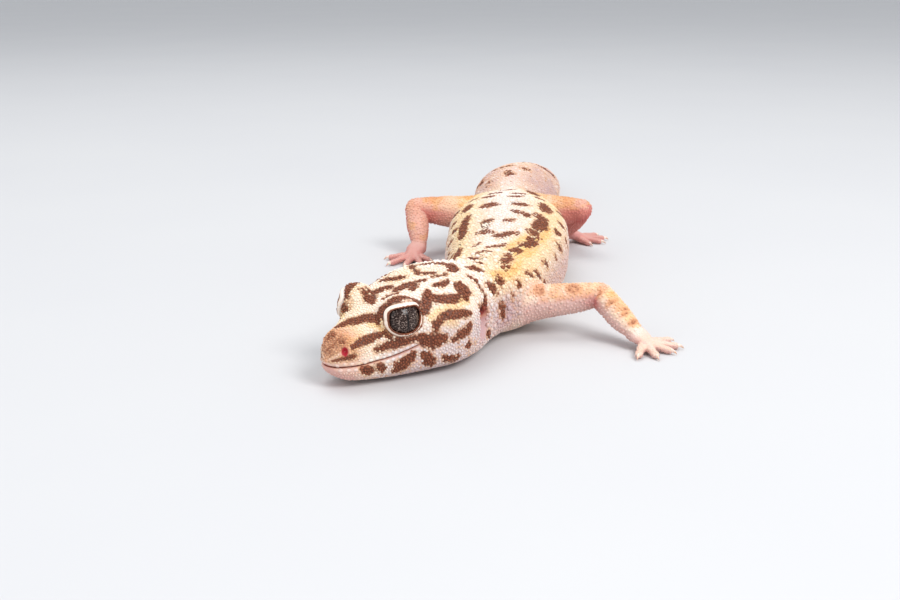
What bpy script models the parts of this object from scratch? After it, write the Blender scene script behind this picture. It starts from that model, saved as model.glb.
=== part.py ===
"""Leopard gecko: a still, life-size model of an adult, standing low with its head turned to its right.

The body is one tapering form, drawn as sections along a spine that bends in plan, and parted into
head, lower jaw, neck, trunk and three lengths of tail by thin plane cuts. Each leg is a tapering tube
along its bones, parted at elbow or knee and at wrist or ankle, and ends in a foot of five clawed toes.

Sizes and places are in millimetres and become metres where a mesh is made. The gecko's forward is -Y,
its left is +X, and it stands on z = 0. A station is a distance along the spine from the tip of the snout.
"""

from math import cos, pi, radians, sin

import bmesh
import bpy
import numpy as np
from mathutils import Matrix

MM = 0.001
GAP = 0.3

# Spine in plan: the way from head to tail, in degrees to the animal's left of +Y, at stations.
BEND_STATIONS = (0, 26, 52, 80, 112, 150, 205)
BEND_DEGREES = (37, 37, 4.6, -3.8, -5.8, 4.5, 4.5)

# Landmark, station, half width, then heights of the back, of the widest level and of the underside.
BODY_SECTIONS = (
    ("snout tip", 0, 3.1, 8.2, 5.0, 1.9),
    ("nostrils", 2.8, 4.2, 9.6, 5.1, 1.1),
    ("snout", 6.5, 5.8, 11.1, 5.3, 0.5),
    ("front of the eyes", 10, 7.5, 12.7, 5.5, 0.2),
    ("eyes", 14, 9.0, 14.6, 5.8, 0.0),
    ("crown", 18.5, 10.7, 16.2, 6.0, 0.0),
    ("jaw muscles", 23, 11.7, 16.8, 6.2, 0.0),
    ("ears", 28, 10.9, 17.1, 6.6, 0.1),
    ("nape", 34, 8.9, 16.5, 6.9, 0.7),
    ("throat", 39, 8.4, 15.8, 6.9, 0.8),
    ("shoulders", 47, 10.0, 15.8, 7.0, 0.1),
    ("chest", 58, 11.7, 16.8, 7.2, -0.4),
    ("belly", 72, 13.7, 17.9, 7.6, -0.5),
    ("loins", 90, 14.2, 17.5, 7.6, -0.4),
    ("flanks", 102, 12.6, 16.1, 7.2, 0.0),
    ("hips", 112, 9.8, 14.8, 6.8, 0.4),
    ("vent", 121, 8.4, 13.0, 6.2, 0.6),
    ("tail's waist", 127, 7.6, 12.1, 5.9, 0.3),
    ("tail swells", 135, 10.2, 13.9, 6.3, -0.3),
    ("tail at its fattest", 147, 11.6, 15.1, 6.6, -0.5),
    ("tail past its middle", 161, 10.7, 13.4, 6.0, -0.4),
    ("tail narrows", 176, 7.1, 9.9, 4.6, -0.3),
    ("tail's last third", 190, 4.3, 6.3, 3.0, -0.2),
    ("tail tip", 204, 1.6, 2.9, 1.4, 0.0),
)
# How square a section is: above, at stations, and below. The tail is rounder than the rest.
ROUNDNESS_STATIONS = (0, 110, 130, 206)
UPPER_ROUNDNESS = (2.4, 2.4, 1.9, 1.9)
LOWER_ROUNDNESS = 3.1
SNOUT_CAP = 4.2
TAIL_CAP = 3.0
TAIL_END = 206.0

# Swellings and hollows on both sides: name, station, degrees from the back's middle, spread along
# the body, spread round it in degrees, and height.
SWELLINGS = (
    ("brow over the eye", 12.4, 44, 3.5, 21, 1.3),
    ("hollow in front of the eye", 6.6, 58, 2.0, 20, -0.3),
    ("nostril", 2.3, 52, 1.5, 18, 0.3),
    ("jaw muscle", 22.0, 72, 4.2, 26, 0.5),
    ("back of the crown", 25.0, 30, 4.6, 22, 0.3),
    ("hollow of the ear", 29.5, 82, 1.5, 16, -0.6),
    ("side of the neck", 36.0, 95, 3.2, 40, -0.4),
    ("shoulder", 44.5, 82, 4.2, 30, 0.7),
    ("hip", 112.0, 70, 6.0, 30, 0.9),
)

# Cuts between the body's lengths.
HEAD_END, NECK_END, TRUNK_END, TAIL_BASE_END, TAIL_MIDDLE_END = 31.0, 45.0, 124.0, 150.0, 178.0

# Mouth line, as heights at stations, and where the jaw's joint ends it.
MOUTH_STATIONS = (-4, 0, 4, 8, 12, 16.5)
MOUTH_HEIGHTS = (4.2, 4.2, 4.4, 5.0, 6.0, 7.4)
JAW_JOINT = 16.5

# The eyes sit alike on both sides: place, size, and the opening between the lids.
EYE_STATION, EYE_SIDE, EYE_HEIGHT, EYE_RADIUS = 12.5, 5.7, 11.5, 3.45
EYE_FORWARD, EYE_UPWARD = 0.16, 0.2
LID_LONG, LID_TALL, LID_RADIUS = 2.9, 2.3, 0.62

# Half width and half height of a leg's section at its root, middle, elbow or knee, middle again,
# wrist or ankle, palm and toe roots.
FRONT_LEG_WIDTHS = (3.8, 3.3, 2.8, 2.8, 2.1, 2.5, 2.0)
FRONT_LEG_HEIGHTS = (4.2, 3.5, 2.7, 2.7, 1.9, 1.6, 1.3)
HIND_LEG_WIDTHS = (4.4, 4.1, 3.0, 2.9, 2.0, 2.8, 2.2)
HIND_LEG_HEIGHTS = (4.7, 4.3, 2.9, 2.8, 1.8, 1.7, 1.3)

# Each leg: side (+1 left), station, offset and height of its root inside the trunk, then the places of
# its elbow or knee, of its wrist or ankle, and of the roots of its toes.
LEGS = {
    "front_left": (1, 42.5, 4.0, 5.7, (46.3, 35.2, 8.2), (52.9, 28.7, 3.0), (55.3, 27.0, 1.75)),
    "front_right": (-1, 44.5, 4.0, 7.4, (6.5, 42.5, 7.6), (3.4, 31.4, 2.8), (2.2, 28.2, 1.75)),
    "hind_left": (1, 112.5, 2.5, 8.8, (40.8, 98.2, 11.3), (36.4, 109.0, 3.2), (39.8, 110.8, 1.75)),
    "hind_right": (-1, 110.0, 3.0, 8.6, (-0.3, 97.4, 10.9), (1.4, 91.4, 3.2), (0.4, 87.8, 1.75)),
}

# Toes from the inner to the outer one: degrees from the palm's line, and length.
FRONT_TOES = ((66, 5.9), (32, 5.9), (-12, 5.6), (-43, 6.6), (-76, 6.8))
HIND_TOES = ((72, 5.4), (38, 7.0), (8, 8.0), (-22, 8.3), (-66, 6.5))
TOE_ROOT, TOE_TIP = 1.15, 0.85
CLAW_ROOT, CLAW_TIP, CLAW_LENGTH = 0.55, 0.25, 1.5

# Linear base colour, roughness.
FINISHES = {
    "skin": ((0.80, 0.60, 0.38), 0.62),
    "eye": ((0.07, 0.05, 0.05), 0.08),
}


def smooth(x, knots, values):
    """A curve through the knots that never overshoots them (a monotone cubic)."""
    knots, values = np.asarray(knots, float), np.asarray(values, float)
    step = np.diff(knots)
    slope = np.diff(values) / step
    before, after = slope[:-1], slope[1:]
    mean = 2 * before * after / np.where(before + after == 0, 1, before + after)
    inner = np.where(before * after > 0, mean, 0)
    tangent = np.concatenate([slope[:1], inner, slope[-1:]])
    x = np.clip(x, knots[0], knots[-1])
    i = np.clip(np.searchsorted(knots, x, side="right") - 1, 0, len(step) - 1)
    t = (x - knots[i]) / step[i]
    return (
        values[i] * (1 + 2 * t) * (1 - t) ** 2
        + tangent[i] * step[i] * t * (1 - t) ** 2
        + values[i + 1] * t**2 * (3 - 2 * t)
        + tangent[i + 1] * step[i] * t**2 * (t - 1)
    )


def heading(station):
    """The spine's way from head to tail, in radians to the animal's left of +Y."""
    return np.radians(smooth(station, BEND_STATIONS, BEND_DEGREES))


def spine(station):
    """Plan position of the spine: its heading summed from the snout."""
    fine = np.linspace(-5, TAIL_END + 5, 2000)
    way = heading((fine[1:] + fine[:-1]) / 2)
    step = fine[1] - fine[0]
    x = np.concatenate([[0], np.cumsum(np.sin(way)) * step])
    y = np.concatenate([[0], np.cumsum(np.cos(way)) * step])
    x, y = x - np.interp(0, fine, x), y - np.interp(0, fine, y)
    return np.stack([np.interp(station, fine, x), np.interp(station, fine, y)], -1)


def place(station, side, height):
    """The point at a station, that far to the left of the spine and that high."""
    way = heading(station)
    middle = spine(station)
    x = middle[..., 0] + side * np.cos(way)
    y = middle[..., 1] - side * np.sin(way)
    return np.stack([x, y, np.broadcast_to(height, x.shape)], -1)


def body_surface(station, angle, grow=0.0):
    """Body surface at a station and an angle from the back's middle, positive to the left.

    A section is a superellipse, wider below its widest level than above, shrunk to a round end at
    snout and tail, with the swellings added away from its middle, and cut flat at z = 0.
    """
    _, knots, *columns = zip(*BODY_SECTIONS)
    wide, back, level, under = (smooth(station, knots, column) for column in columns)
    from_snout = np.clip(station / SNOUT_CAP, 0, 1)
    from_tail = np.clip((TAIL_END - station) / TAIL_CAP, 0, 1)
    cap = np.sqrt(1 - (1 - from_snout) ** 2) * np.sqrt(1 - (1 - from_tail) ** 2)
    up = np.cos(angle)
    upper = smooth(station, ROUNDNESS_STATIONS, UPPER_ROUNDNESS)
    power = np.where(up > 0, 2 / upper, 2 / LOWER_ROUNDNESS)
    rise = np.where(up > 0, back - level, level - under)
    side = cap * wide * np.sign(np.sin(angle)) * np.abs(np.sin(angle)) ** power
    high = cap * rise * np.sign(up) * np.abs(up) ** power
    out = grow
    for _, at, degrees, along, around, height in SWELLINGS:
        turn = (np.abs(angle) - radians(degrees)) / radians(around)
        out = out + height * cap * np.exp(-(((station - at) / along) ** 2) - turn**2)
    reach = np.maximum(np.hypot(side, high), 1e-6)
    point = place(station, side + out * side / reach, level + high + out * high / reach)
    point[..., 2] = np.maximum(point[..., 2], -grow)
    return point


def mesh_of_rings(name, rings):
    """A closed mesh over rings of points, in millimetres, with a fan to the middle of each end."""
    count, around = rings.shape[:2]
    ends = np.array([rings[0].mean(0), rings[-1].mean(0)])
    points = np.concatenate([rings.reshape(-1, 3), ends]) * MM
    i, j = np.meshgrid(np.arange(count - 1), np.arange(around), indexing="ij")
    k = (j + 1) % around
    quads = np.stack([i * around + j, i * around + k, (i + 1) * around + k, (i + 1) * around + j], -1)
    j = np.arange(around)
    k = (j + 1) % around
    first = np.stack([k, j, np.full(around, count * around)], -1)
    last = np.stack([j, k, np.full(around, count * around + 1)], -1) + [
        (count - 1) * around,
        (count - 1) * around,
        0,
    ]
    mesh = bpy.data.meshes.new(name)
    mesh.from_pydata(points.tolist(), [], quads.reshape(-1, 4).tolist() + first.tolist() + last.tolist())
    work = bmesh.new()
    work.from_mesh(mesh)
    bmesh.ops.recalc_face_normals(work, faces=work.faces)
    work.to_mesh(mesh)
    work.free()
    mesh.shade_smooth()
    return mesh


def add(name, mesh, finish, collection):
    thing = bpy.data.objects.new(name, mesh)
    mesh.materials.append(finish)
    collection.objects.link(thing)
    return thing


def make_helper(thing):
    thing.hide_render = True
    thing.display_type = "WIRE"
    return thing


def combine(thing, operation, other):
    """Cuts away or joins another object, or all of a collection."""
    cut = thing.modifiers.new(operation.lower(), "BOOLEAN")
    cut.operation = operation
    cut.solver = "EXACT"
    if isinstance(other, bpy.types.Collection):
        cut.operand_type = "COLLECTION"
        cut.collection = other
    else:
        cut.object = other


def body_length(name, start, end, rings, around, grow=0.0):
    """A mesh of the body between two stations."""
    station = np.linspace(start, end, rings)
    if start <= 0:
        station = end * np.linspace(0.05, 1, rings) ** 1.5
    if end >= TAIL_END:
        station = start + (TAIL_END - start) * (1 - np.linspace(1, 0.05, rings) ** 1.5)
    angle = np.arange(around) * 2 * pi / around - pi
    return mesh_of_rings(name, body_surface(*np.meshgrid(station, angle, indexing="ij"), grow))


def mouth_region(name, gap, finish, helpers):
    """A block under the mouth line, in front of the jaw's joint and as wide as the head."""
    reach = 20.0
    station = np.linspace(MOUTH_STATIONS[0], JAW_JOINT - gap, 14)
    line = smooth(station, MOUTH_STATIONS, MOUTH_HEIGHTS) - gap
    low = np.full_like(line, -5.0)
    sides = [place(station, np.full_like(station, side), height)
             for side, height in ((-reach, line), (reach, line), (reach, low), (-reach, low))]
    return make_helper(add(name, mesh_of_rings(name, np.stack(sides, 1)), finish, helpers))


def eye_axes(side):
    """The eye's middle, and the unit ways out of the head, forward and up the opening."""
    middle = place(EYE_STATION, side * EYE_SIDE, EYE_HEIGHT)
    way = heading(EYE_STATION)
    left = np.array([cos(way), -sin(way), 0])
    front = np.array([-sin(way), -cos(way), 0])
    out = side * left + EYE_FORWARD * front + EYE_UPWARD * np.array([0, 0, 1])
    out /= np.linalg.norm(out)
    along = front - out * (front @ out)
    along /= np.linalg.norm(along)
    up = np.cross(out, along)
    return middle, out, along, up * np.sign(up[2])


def ball(name, middle, radius, finish, collection):
    mesh = bpy.data.meshes.new(name)
    work = bmesh.new()
    bmesh.ops.create_uvsphere(
        work,
        u_segments=16,
        v_segments=9,
        radius=radius * MM,
        matrix=Matrix.Translation((middle * MM).tolist()),
    )
    work.to_mesh(mesh)
    work.free()
    mesh.shade_smooth()
    return add(name, mesh, finish, collection)


def eyelids(name, side, finish, helpers):
    """A ring of skin round the opening, its centre line an ellipse drawn on the eyeball."""
    middle, out, along, up = eye_axes(side)
    turn = np.arange(20) * 2 * pi / 20
    flat = np.outer(np.cos(turn) * LID_LONG, along) + np.outer(np.sin(turn) * LID_TALL, up)
    shell = EYE_RADIUS + 0.15
    centre = flat + np.outer(np.sqrt(shell**2 - (flat**2).sum(1)), out)
    outward = centre / np.linalg.norm(centre, axis=1)[:, None]
    ahead = np.roll(centre, -1, 0) - np.roll(centre, 1, 0)
    ahead /= np.linalg.norm(ahead, axis=1)[:, None]
    across = np.cross(ahead, outward)
    round_ = np.arange(6) * 2 * pi / 6
    tube = centre[:, None] + LID_RADIUS * (
        np.cos(round_)[None, :, None] * outward[:, None] + np.sin(round_)[None, :, None] * across[:, None]
    )
    points = (tube + middle).reshape(-1, 3) * MM
    i, j = np.meshgrid(np.arange(20), np.arange(6), indexing="ij")
    k, m = (i + 1) % 20, (j + 1) % 6
    faces = np.stack([i * 6 + j, k * 6 + j, k * 6 + m, i * 6 + m], -1).reshape(-1, 4)
    mesh = bpy.data.meshes.new(name)
    mesh.from_pydata(points.tolist(), [], faces.tolist())
    work = bmesh.new()
    work.from_mesh(mesh)
    bmesh.ops.recalc_face_normals(work, faces=work.faces)
    work.to_mesh(mesh)
    work.free()
    return make_helper(add(name, mesh, finish, helpers))


def leg_joints(leg):
    """Places of the root, elbow or knee, wrist or ankle, and toe roots."""
    side, station, offset, height, *places = LEGS[leg]
    return np.array([place(station, side * offset, height), *places])


def tube_rings(middle, width, height, around):
    """Rings round a path: ellipses that lie across it, with their width level, and flat at z = 0."""
    ahead = np.gradient(middle, axis=0)
    ahead /= np.linalg.norm(ahead, axis=1)[:, None]
    across = np.cross([0, 0, 1.0], ahead)
    across /= np.linalg.norm(across, axis=1)[:, None]
    up = np.cross(ahead, across)
    turn = np.arange(around) * 2 * pi / around
    rings = (
        middle[:, None]
        + np.cos(turn)[None, :, None] * (width[:, None] * across)[:, None]
        + np.sin(turn)[None, :, None] * (height[:, None] * up)[:, None]
    )
    rings[..., 2] = np.maximum(rings[..., 2], 0)
    return rings


def leg_length(name, leg, bone, around, grow=0.0):
    """One length of a leg, along the line between two of its joints.

    Its section is an ellipse that swells and tapers from joint to joint. It ends in a half ellipsoid
    beyond the outer joint, and begins a little thinner at the inner one, inside the length before.
    """
    start, end = leg_joints(leg)[bone:bone + 2]
    length = np.linalg.norm(end - start)
    front = leg.startswith("front")
    wide = np.array((FRONT_LEG_WIDTHS if front else HIND_LEG_WIDTHS)[2 * bone:2 * bone + 3])
    high = np.array((FRONT_LEG_HEIGHTS if front else HIND_LEG_HEIGHTS)[2 * bone:2 * bone + 3])
    cap = wide[2] * 0.95 + grow
    bulge = np.radians([32, 58, 78])
    along = np.concatenate([[0, 0.12, 0.35, 0.6, 0.8], [1.0] * 4]) * length
    along[6:] += cap * np.sin(bulge)
    round_end = np.concatenate([[0.85], np.ones(5), np.cos(bulge)])
    knots = np.array([0, 0.5, 1]) * length
    width = (smooth(along, knots, wide) + grow) * round_end
    height = (smooth(along, knots, high) + grow) * round_end
    middle = start + along[:, None] * (end - start) / length
    return mesh_of_rings(name, tube_rings(middle, width, height, around))


def toe(name, root, way, length, finish, collection):
    """A toe that slopes from the palm to a flat pad, and its claw, as two closed shapes."""
    t = np.array([0, 0.45, 0.9, 1])
    flat = np.array([cos(way), sin(way)])
    thick = TOE_ROOT + (TOE_TIP - TOE_ROOT) * t
    height = np.array([1.55, 1.12, 0.68, 0.62])
    thick[-1] *= 0.65
    middle = np.column_stack([root[:2] + np.outer(t * length, flat), height])
    add(name, mesh_of_rings(name, tube_rings(middle, thick, thick * 0.95, 6)), finish, collection)
    t = np.array([0, 0.55, 1])
    height = 1.05 - 0.1 * t - 0.55 * t**2
    middle = np.column_stack([root[:2] + np.outer(length - 0.5 + t * CLAW_LENGTH, flat), height])
    thick = CLAW_ROOT + (CLAW_TIP - CLAW_ROOT) * t
    claw = f"{name}_claw"
    add(claw, mesh_of_rings(claw, tube_rings(middle, thick, thick, 4)), finish, collection)


def make_leg(leg, finish, parts, helpers, body):
    """The upper, lower and foot pieces of one leg. Each gives way, by the gap, to the one before it."""
    front = leg.startswith("front")
    side = LEGS[leg][0]
    limb = leg.split("_")[1]
    names = ("upper_arm", "forearm", "hand") if front else ("thigh", "shin", "foot")
    before = body
    for bone, name in enumerate(names):
        piece = add(f"{name}_{limb}", leg_length(name, leg, bone, 10), finish, parts)
        if bone < 2:
            combine(piece, "DIFFERENCE", before)
            grown = f"round_{name}_{limb}"
            before = make_helper(add(grown, leg_length(grown, leg, bone, 10, GAP), finish, helpers))
    toes = bpy.data.collections.new(f"toes_{leg}")
    toes.hide_render = True
    helpers.children.link(toes)
    wrist, toe_roots = leg_joints(leg)[2:]
    palm = toe_roots - wrist
    for n, (spread, length) in enumerate(FRONT_TOES if front else HIND_TOES):
        way = np.arctan2(palm[1], palm[0]) - side * radians(spread)
        toe(f"{piece.name}_toe_{n + 1}", toe_roots - 0.2 * palm, way, length, finish, toes)
    for thing in toes.objects:
        make_helper(thing)
    combine(piece, "UNION", toes)
    combine(piece, "DIFFERENCE", before)


def stand_over_origin():
    """Moves every mesh in plan so that the middle of the whole model stands over the origin."""
    solid = [thing.data for thing in bpy.data.objects if "mouth" not in thing.name]
    points = np.array([tuple(v.co) for mesh in solid for v in mesh.vertices])
    middle = (points.min(0) + points.max(0)) / 2
    for thing in bpy.data.objects:
        thing.data.transform(Matrix.Translation((-middle[0], -middle[1], 0)))


def main():
    for thing in list(bpy.data.objects):
        bpy.data.objects.remove(thing)
    scene = bpy.context.scene.collection
    parts = bpy.data.collections.new("leopard_gecko")
    helpers = bpy.data.collections.new("cutters")
    scene.children.link(parts)
    scene.children.link(helpers)
    finish = {}
    for name, (colour, rough) in FINISHES.items():
        finish[name] = bpy.data.materials.new(name)
        finish[name].use_nodes = True
        shader = finish[name].node_tree.nodes["Principled BSDF"]
        shader.inputs["Base Color"].default_value = (*colour, 1)
        shader.inputs["Roughness"].default_value = rough

    half = GAP / 2
    lengths = {
        "neck": (HEAD_END + half, NECK_END - half, 6, 26),
        "trunk": (NECK_END + half, TRUNK_END - half, 17, 26),
        "tail_base": (TRUNK_END + half, TAIL_BASE_END - half, 7, 20),
        "tail_middle": (TAIL_BASE_END + half, TAIL_MIDDLE_END - half, 6, 18),
        "tail_tip": (TAIL_MIDDLE_END + half, TAIL_END, 8, 14),
    }
    for name, (start, end, rings, around) in lengths.items():
        add(name, body_length(name, start, end, rings, around), finish["skin"], parts)
    whole = make_helper(add("whole_body", body_length("whole", 34, 130, 27, 26, GAP), finish["skin"], helpers))

    head = add("head", body_length("head", 0, HEAD_END - half, 19, 30), finish["skin"], parts)
    for side, name in ((1, "left"), (-1, "right")):
        middle = eye_axes(side)[0]
        combine(head, "UNION", eyelids(f"lids_{name}", side, finish["skin"], helpers))
        ball(f"eye_{name}", middle, EYE_RADIUS, finish["eye"], parts)
        socket = ball(f"socket_{name}", middle, EYE_RADIUS + GAP, finish["skin"], helpers)
        combine(head, "DIFFERENCE", make_helper(socket))
    jaw = add("lower_jaw", body_length("lower_jaw", 0, HEAD_END - half, 19, 30), finish["skin"], parts)
    combine(jaw, "INTERSECT", mouth_region("under_mouth", GAP, finish["skin"], helpers))
    combine(head, "DIFFERENCE", mouth_region("mouth_cut", 0.0, finish["skin"], helpers))

    for leg in LEGS:
        make_leg(leg, finish["skin"], parts, helpers, whole)
    stand_over_origin()


main()
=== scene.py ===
"""Looks of the leopard gecko: skin over the flesh, scales, eyes, claws, floor, light and camera.

Shapes are worked out in millimetres in the animal's own plan, where the tip of the snout is at the origin
and the tail runs off towards +Y. A station is a distance along the spine from the snout, and an angle is
measured round the body from the middle of the back, positive to the left. `to_metres` carries the finished
points to the row frame, by the place of the left eye.
"""

from itertools import product
from math import cos, pi, radians, sin

import bmesh
import bpy
import numpy as np
from mathutils import Matrix, Vector


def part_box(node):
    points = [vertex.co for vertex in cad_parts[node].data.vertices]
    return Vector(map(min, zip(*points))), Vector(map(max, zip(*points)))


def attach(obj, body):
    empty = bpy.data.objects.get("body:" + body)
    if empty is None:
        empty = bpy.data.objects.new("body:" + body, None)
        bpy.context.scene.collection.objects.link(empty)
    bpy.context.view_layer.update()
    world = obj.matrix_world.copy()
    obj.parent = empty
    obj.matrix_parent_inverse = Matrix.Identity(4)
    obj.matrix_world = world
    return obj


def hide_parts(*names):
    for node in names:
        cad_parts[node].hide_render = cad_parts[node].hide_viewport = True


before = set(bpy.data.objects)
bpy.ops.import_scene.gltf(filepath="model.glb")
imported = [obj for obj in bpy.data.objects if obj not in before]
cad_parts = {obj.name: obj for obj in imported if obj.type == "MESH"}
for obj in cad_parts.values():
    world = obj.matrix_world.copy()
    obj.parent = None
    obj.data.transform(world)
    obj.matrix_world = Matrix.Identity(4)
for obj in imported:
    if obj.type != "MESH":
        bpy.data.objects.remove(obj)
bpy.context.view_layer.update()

MM = 0.001

# In millimetres: how far the skin lies inside the solids, how near it comes to the floor, and the grid on
# which its forms are joined. Then the skin's triangles once it is thinned.
COAT, SOLE, VOXEL = 0.3, 0.1, 0.28
SKIN_TRIANGLES = 186000
# How many points are compared with the whole spine at once.
AT_ONCE = 20000

# ---- the body's form

# The spine's way, in degrees to the animal's left of +Y.
BEND_STATIONS = (0, 26, 52, 80, 112, 150, 205)
BEND_DEGREES = (37, 37, 4.6, -3.8, -5.8, 4.5, 4.5)

# Station, half width, then heights of the back, of the widest level and of the underside.
BODY_SECTIONS = (
    (0, 3.1, 8.2, 5.0, 1.9),
    (2.8, 4.2, 9.6, 5.1, 1.1),
    (6.5, 5.8, 11.1, 5.3, 0.5),
    (10, 7.5, 12.7, 5.5, 0.2),
    (14, 9.0, 14.6, 5.8, 0.0),
    (18.5, 10.7, 16.2, 6.0, 0.0),
    (23, 11.7, 16.8, 6.2, 0.0),
    (28, 10.9, 17.1, 6.6, 0.1),
    (34, 8.9, 16.5, 6.9, 0.7),
    (39, 8.4, 15.8, 6.9, 0.8),
    (47, 10.0, 15.8, 7.0, 0.1),
    (58, 11.7, 16.8, 7.2, -0.4),
    (72, 13.7, 17.9, 7.6, -0.5),
    (90, 14.2, 17.5, 7.6, -0.4),
    (102, 12.6, 16.1, 7.2, 0.0),
    (112, 9.8, 14.8, 6.8, 0.4),
    (121, 8.4, 13.0, 6.2, 0.6),
    (127, 7.6, 12.1, 5.9, 0.3),
    (135, 10.2, 13.9, 6.3, -0.3),
    (147, 11.6, 15.1, 6.6, -0.5),
    (161, 10.7, 13.4, 6.0, -0.4),
    (176, 7.1, 9.9, 4.6, -0.3),
    (190, 4.3, 6.3, 3.0, -0.2),
    (204, 1.6, 2.9, 1.4, 0.0),
)
# A section's power above its widest level, by station, and below it. Then the lengths of the round ends.
ROUNDNESS_STATIONS, UPPER_ROUNDNESS, LOWER_ROUNDNESS = (0, 110, 130, 206), (2.4, 2.4, 1.9, 1.9), 3.1
SNOUT_CAP, TAIL_CAP, TAIL_END = 4.2, 3.0, 206.0

# Station, degrees from the back's middle, spread along the body, spread round it in degrees, height.
SWELLINGS = (
    (12.4, 44, 3.5, 21, 1.3),
    (6.6, 58, 2.0, 20, -0.3),
    (2.3, 52, 1.5, 18, 0.3),
    (22.0, 72, 4.2, 26, 0.5),
    (25.0, 30, 4.6, 22, 0.3),
    (29.5, 82, 1.5, 16, -0.6),
    (36.0, 95, 3.2, 40, -0.4),
    (44.5, 82, 4.2, 30, 0.7),
    (112.0, 70, 6.0, 30, 0.9),
)
# The mouth's line, and the station of its corner.
MOUTH_STATIONS = (-4, 0, 4, 8, 12, 16.5)
MOUTH_HEIGHTS = (4.2, 4.2, 4.4, 5.0, 6.0, 7.4)
MOUTH_CORNER = 14.6

# The eye's middle and size, how much it looks forward and up, and how much its front bulges.
EYE_STATION, EYE_SIDE, EYE_HEIGHT, EYE_RADIUS = 12.5, 5.7, 11.5, 3.45
EYE_FORWARD, EYE_UPWARD, EYE_BULGE = 0.3, 0.08, 0.01
# Half the opening's length and height, and how square its outline is.
LID_LONG, LID_TALL = 3.2, 2.55
LID_SQUARENESS_ABOVE, LID_SQUARENESS_BELOW = 3.2, 2.1
# The lids' half thickness below and above, and how far the flesh round them stands out from the eyeball.
LID_RADII, LID_DEPTH = (0.34, 0.44), 0.45
# How much the hole through the lids is smaller than their middle line, how much the socket is smaller than
# the eyeball, and how far skin and scales keep from the eyeball in the end.
LID_HOLE, SOCKET_DEPTH, EYE_GAP, EYE_SCALE_GAP = 0.25, 0.1, 0.06, 0.2
# Station and angle.
NOSTRIL = (2.2, 60)
EAR = (28.6, 84)
# Station, lean with the angle, and depth.
NECK_FOLDS = ((31.6, 0.03, 0.16), (34.2, 0.02, 0.2), (37.4, 0.0, 0.22), (40.6, -0.03, 0.18))
# The tail's rings: station of the first, length at the start, and how fast they grow shorter.
FIRST_RING, RING_LENGTH, RING_SHRINK = 128, 3.6, 0.006

# Half widths and half heights at both ends and the middle of a leg's three lengths.
FRONT_LEG_WIDTHS = (3.8, 3.3, 2.8, 2.8, 2.1, 2.5, 2.0)
FRONT_LEG_HEIGHTS = (4.2, 3.5, 2.7, 2.7, 1.9, 1.6, 1.3)
HIND_LEG_WIDTHS = (4.4, 4.1, 3.0, 2.9, 2.0, 2.8, 2.2)
HIND_LEG_HEIGHTS = (4.7, 4.3, 2.9, 2.8, 1.8, 1.7, 1.3)
# Side, the root's station, distance from the spine and height, then the places of elbow or knee, of wrist or
# ankle, and of the toes' roots.
LEGS = {
    "front_left": (1, 42.5, 4.0, 5.7, (46.3, 35.2, 8.2), (52.9, 28.7, 3.0), (55.3, 27.0, 1.75)),
    "front_right": (-1, 44.5, 4.0, 7.4, (6.5, 42.5, 7.6), (3.4, 31.4, 2.8), (2.2, 28.2, 1.75)),
    "hind_left": (1, 112.5, 2.5, 8.8, (40.8, 98.2, 11.3), (36.4, 109.0, 3.2), (39.8, 110.8, 1.75)),
    "hind_right": (-1, 110.0, 3.0, 8.6, (-0.3, 97.4, 10.9), (1.4, 91.4, 3.2), (0.4, 87.8, 1.75)),
}
# Degrees between a toe and the palm, and the toe's length.
FRONT_TOES = ((66, 5.9), (32, 5.9), (-12, 5.6), (-43, 6.6), (-76, 6.8))
HIND_TOES = ((72, 5.4), (38, 7.0), (8, 8.0), (-22, 8.3), (-66, 6.5))
# Heights of a toe's middle line, by the share of its length.
TOE_KNOTS, TOE_HEIGHTS = (0, 0.45, 0.9, 1), (1.5, 1.1, 0.72, 0.64)
CLAW_LENGTH = 1.5

# ---- the markings

# Brush strokes: the width, then station and angle of each point in turn. Brown ones on the face, on both
# sides of it, then on the crown and the nape.
FACE_STROKES = (
    (1.3, 3.5, 57, 4.8, 55, 6.2, 52, 7.4, 54, 8.6, 56),
    (1.4, 9, 34, 9.6, 29, 10.6, 28, 12, 30, 13.6, 33, 15.2, 35, 16, 40), (0.7, 8.9, 62, 9.5, 65),
    (1.9, 18.9, 31, 18.1, 38, 17.1, 46, 16.2, 53), (1.8, 18.4, 40, 19.8, 45, 21.5, 49, 23.4, 51),
    (2.5, 24.6, 38, 25.4, 44, 25, 52), (1.8, 25.9, 44, 26.4, 50),
    (1.5, 17.3, 75, 17.6, 69, 18.8, 65, 20.6, 65, 22.6, 67, 24.7, 71),
    (2.5, 14.4, 80, 15.6, 84, 16.8, 86, 18.2, 85), (1.7, 20.4, 88, 22.2, 85, 24, 81),
    (1.4, 23.4, 95, 24.2, 95), (1.6, 7.2, 79, 8.6, 76, 10.3, 76, 12, 78, 13.8, 78),
    (2.2, 13, 92, 12, 98, 10.8, 106, 10.2, 114), (2, 4.6, 97, 5.4, 103, 6, 112), (1.7, 7.2, 98, 7.8, 106),
    (2, 15, 94, 16, 104, 16.8, 115), (1.9, 18.8, 106, 19.8, 112, 21.4, 113), (1.1, 29.2, 33, 29.9, 42),
    (1.1, 30.2, 48, 30.5, 56), (1.2, 30.6, 62, 30.4, 72), (0.9, 27.8, 69, 29, 70),
    (1.3, 30.5, 98, 31.5, 106),
)
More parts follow.
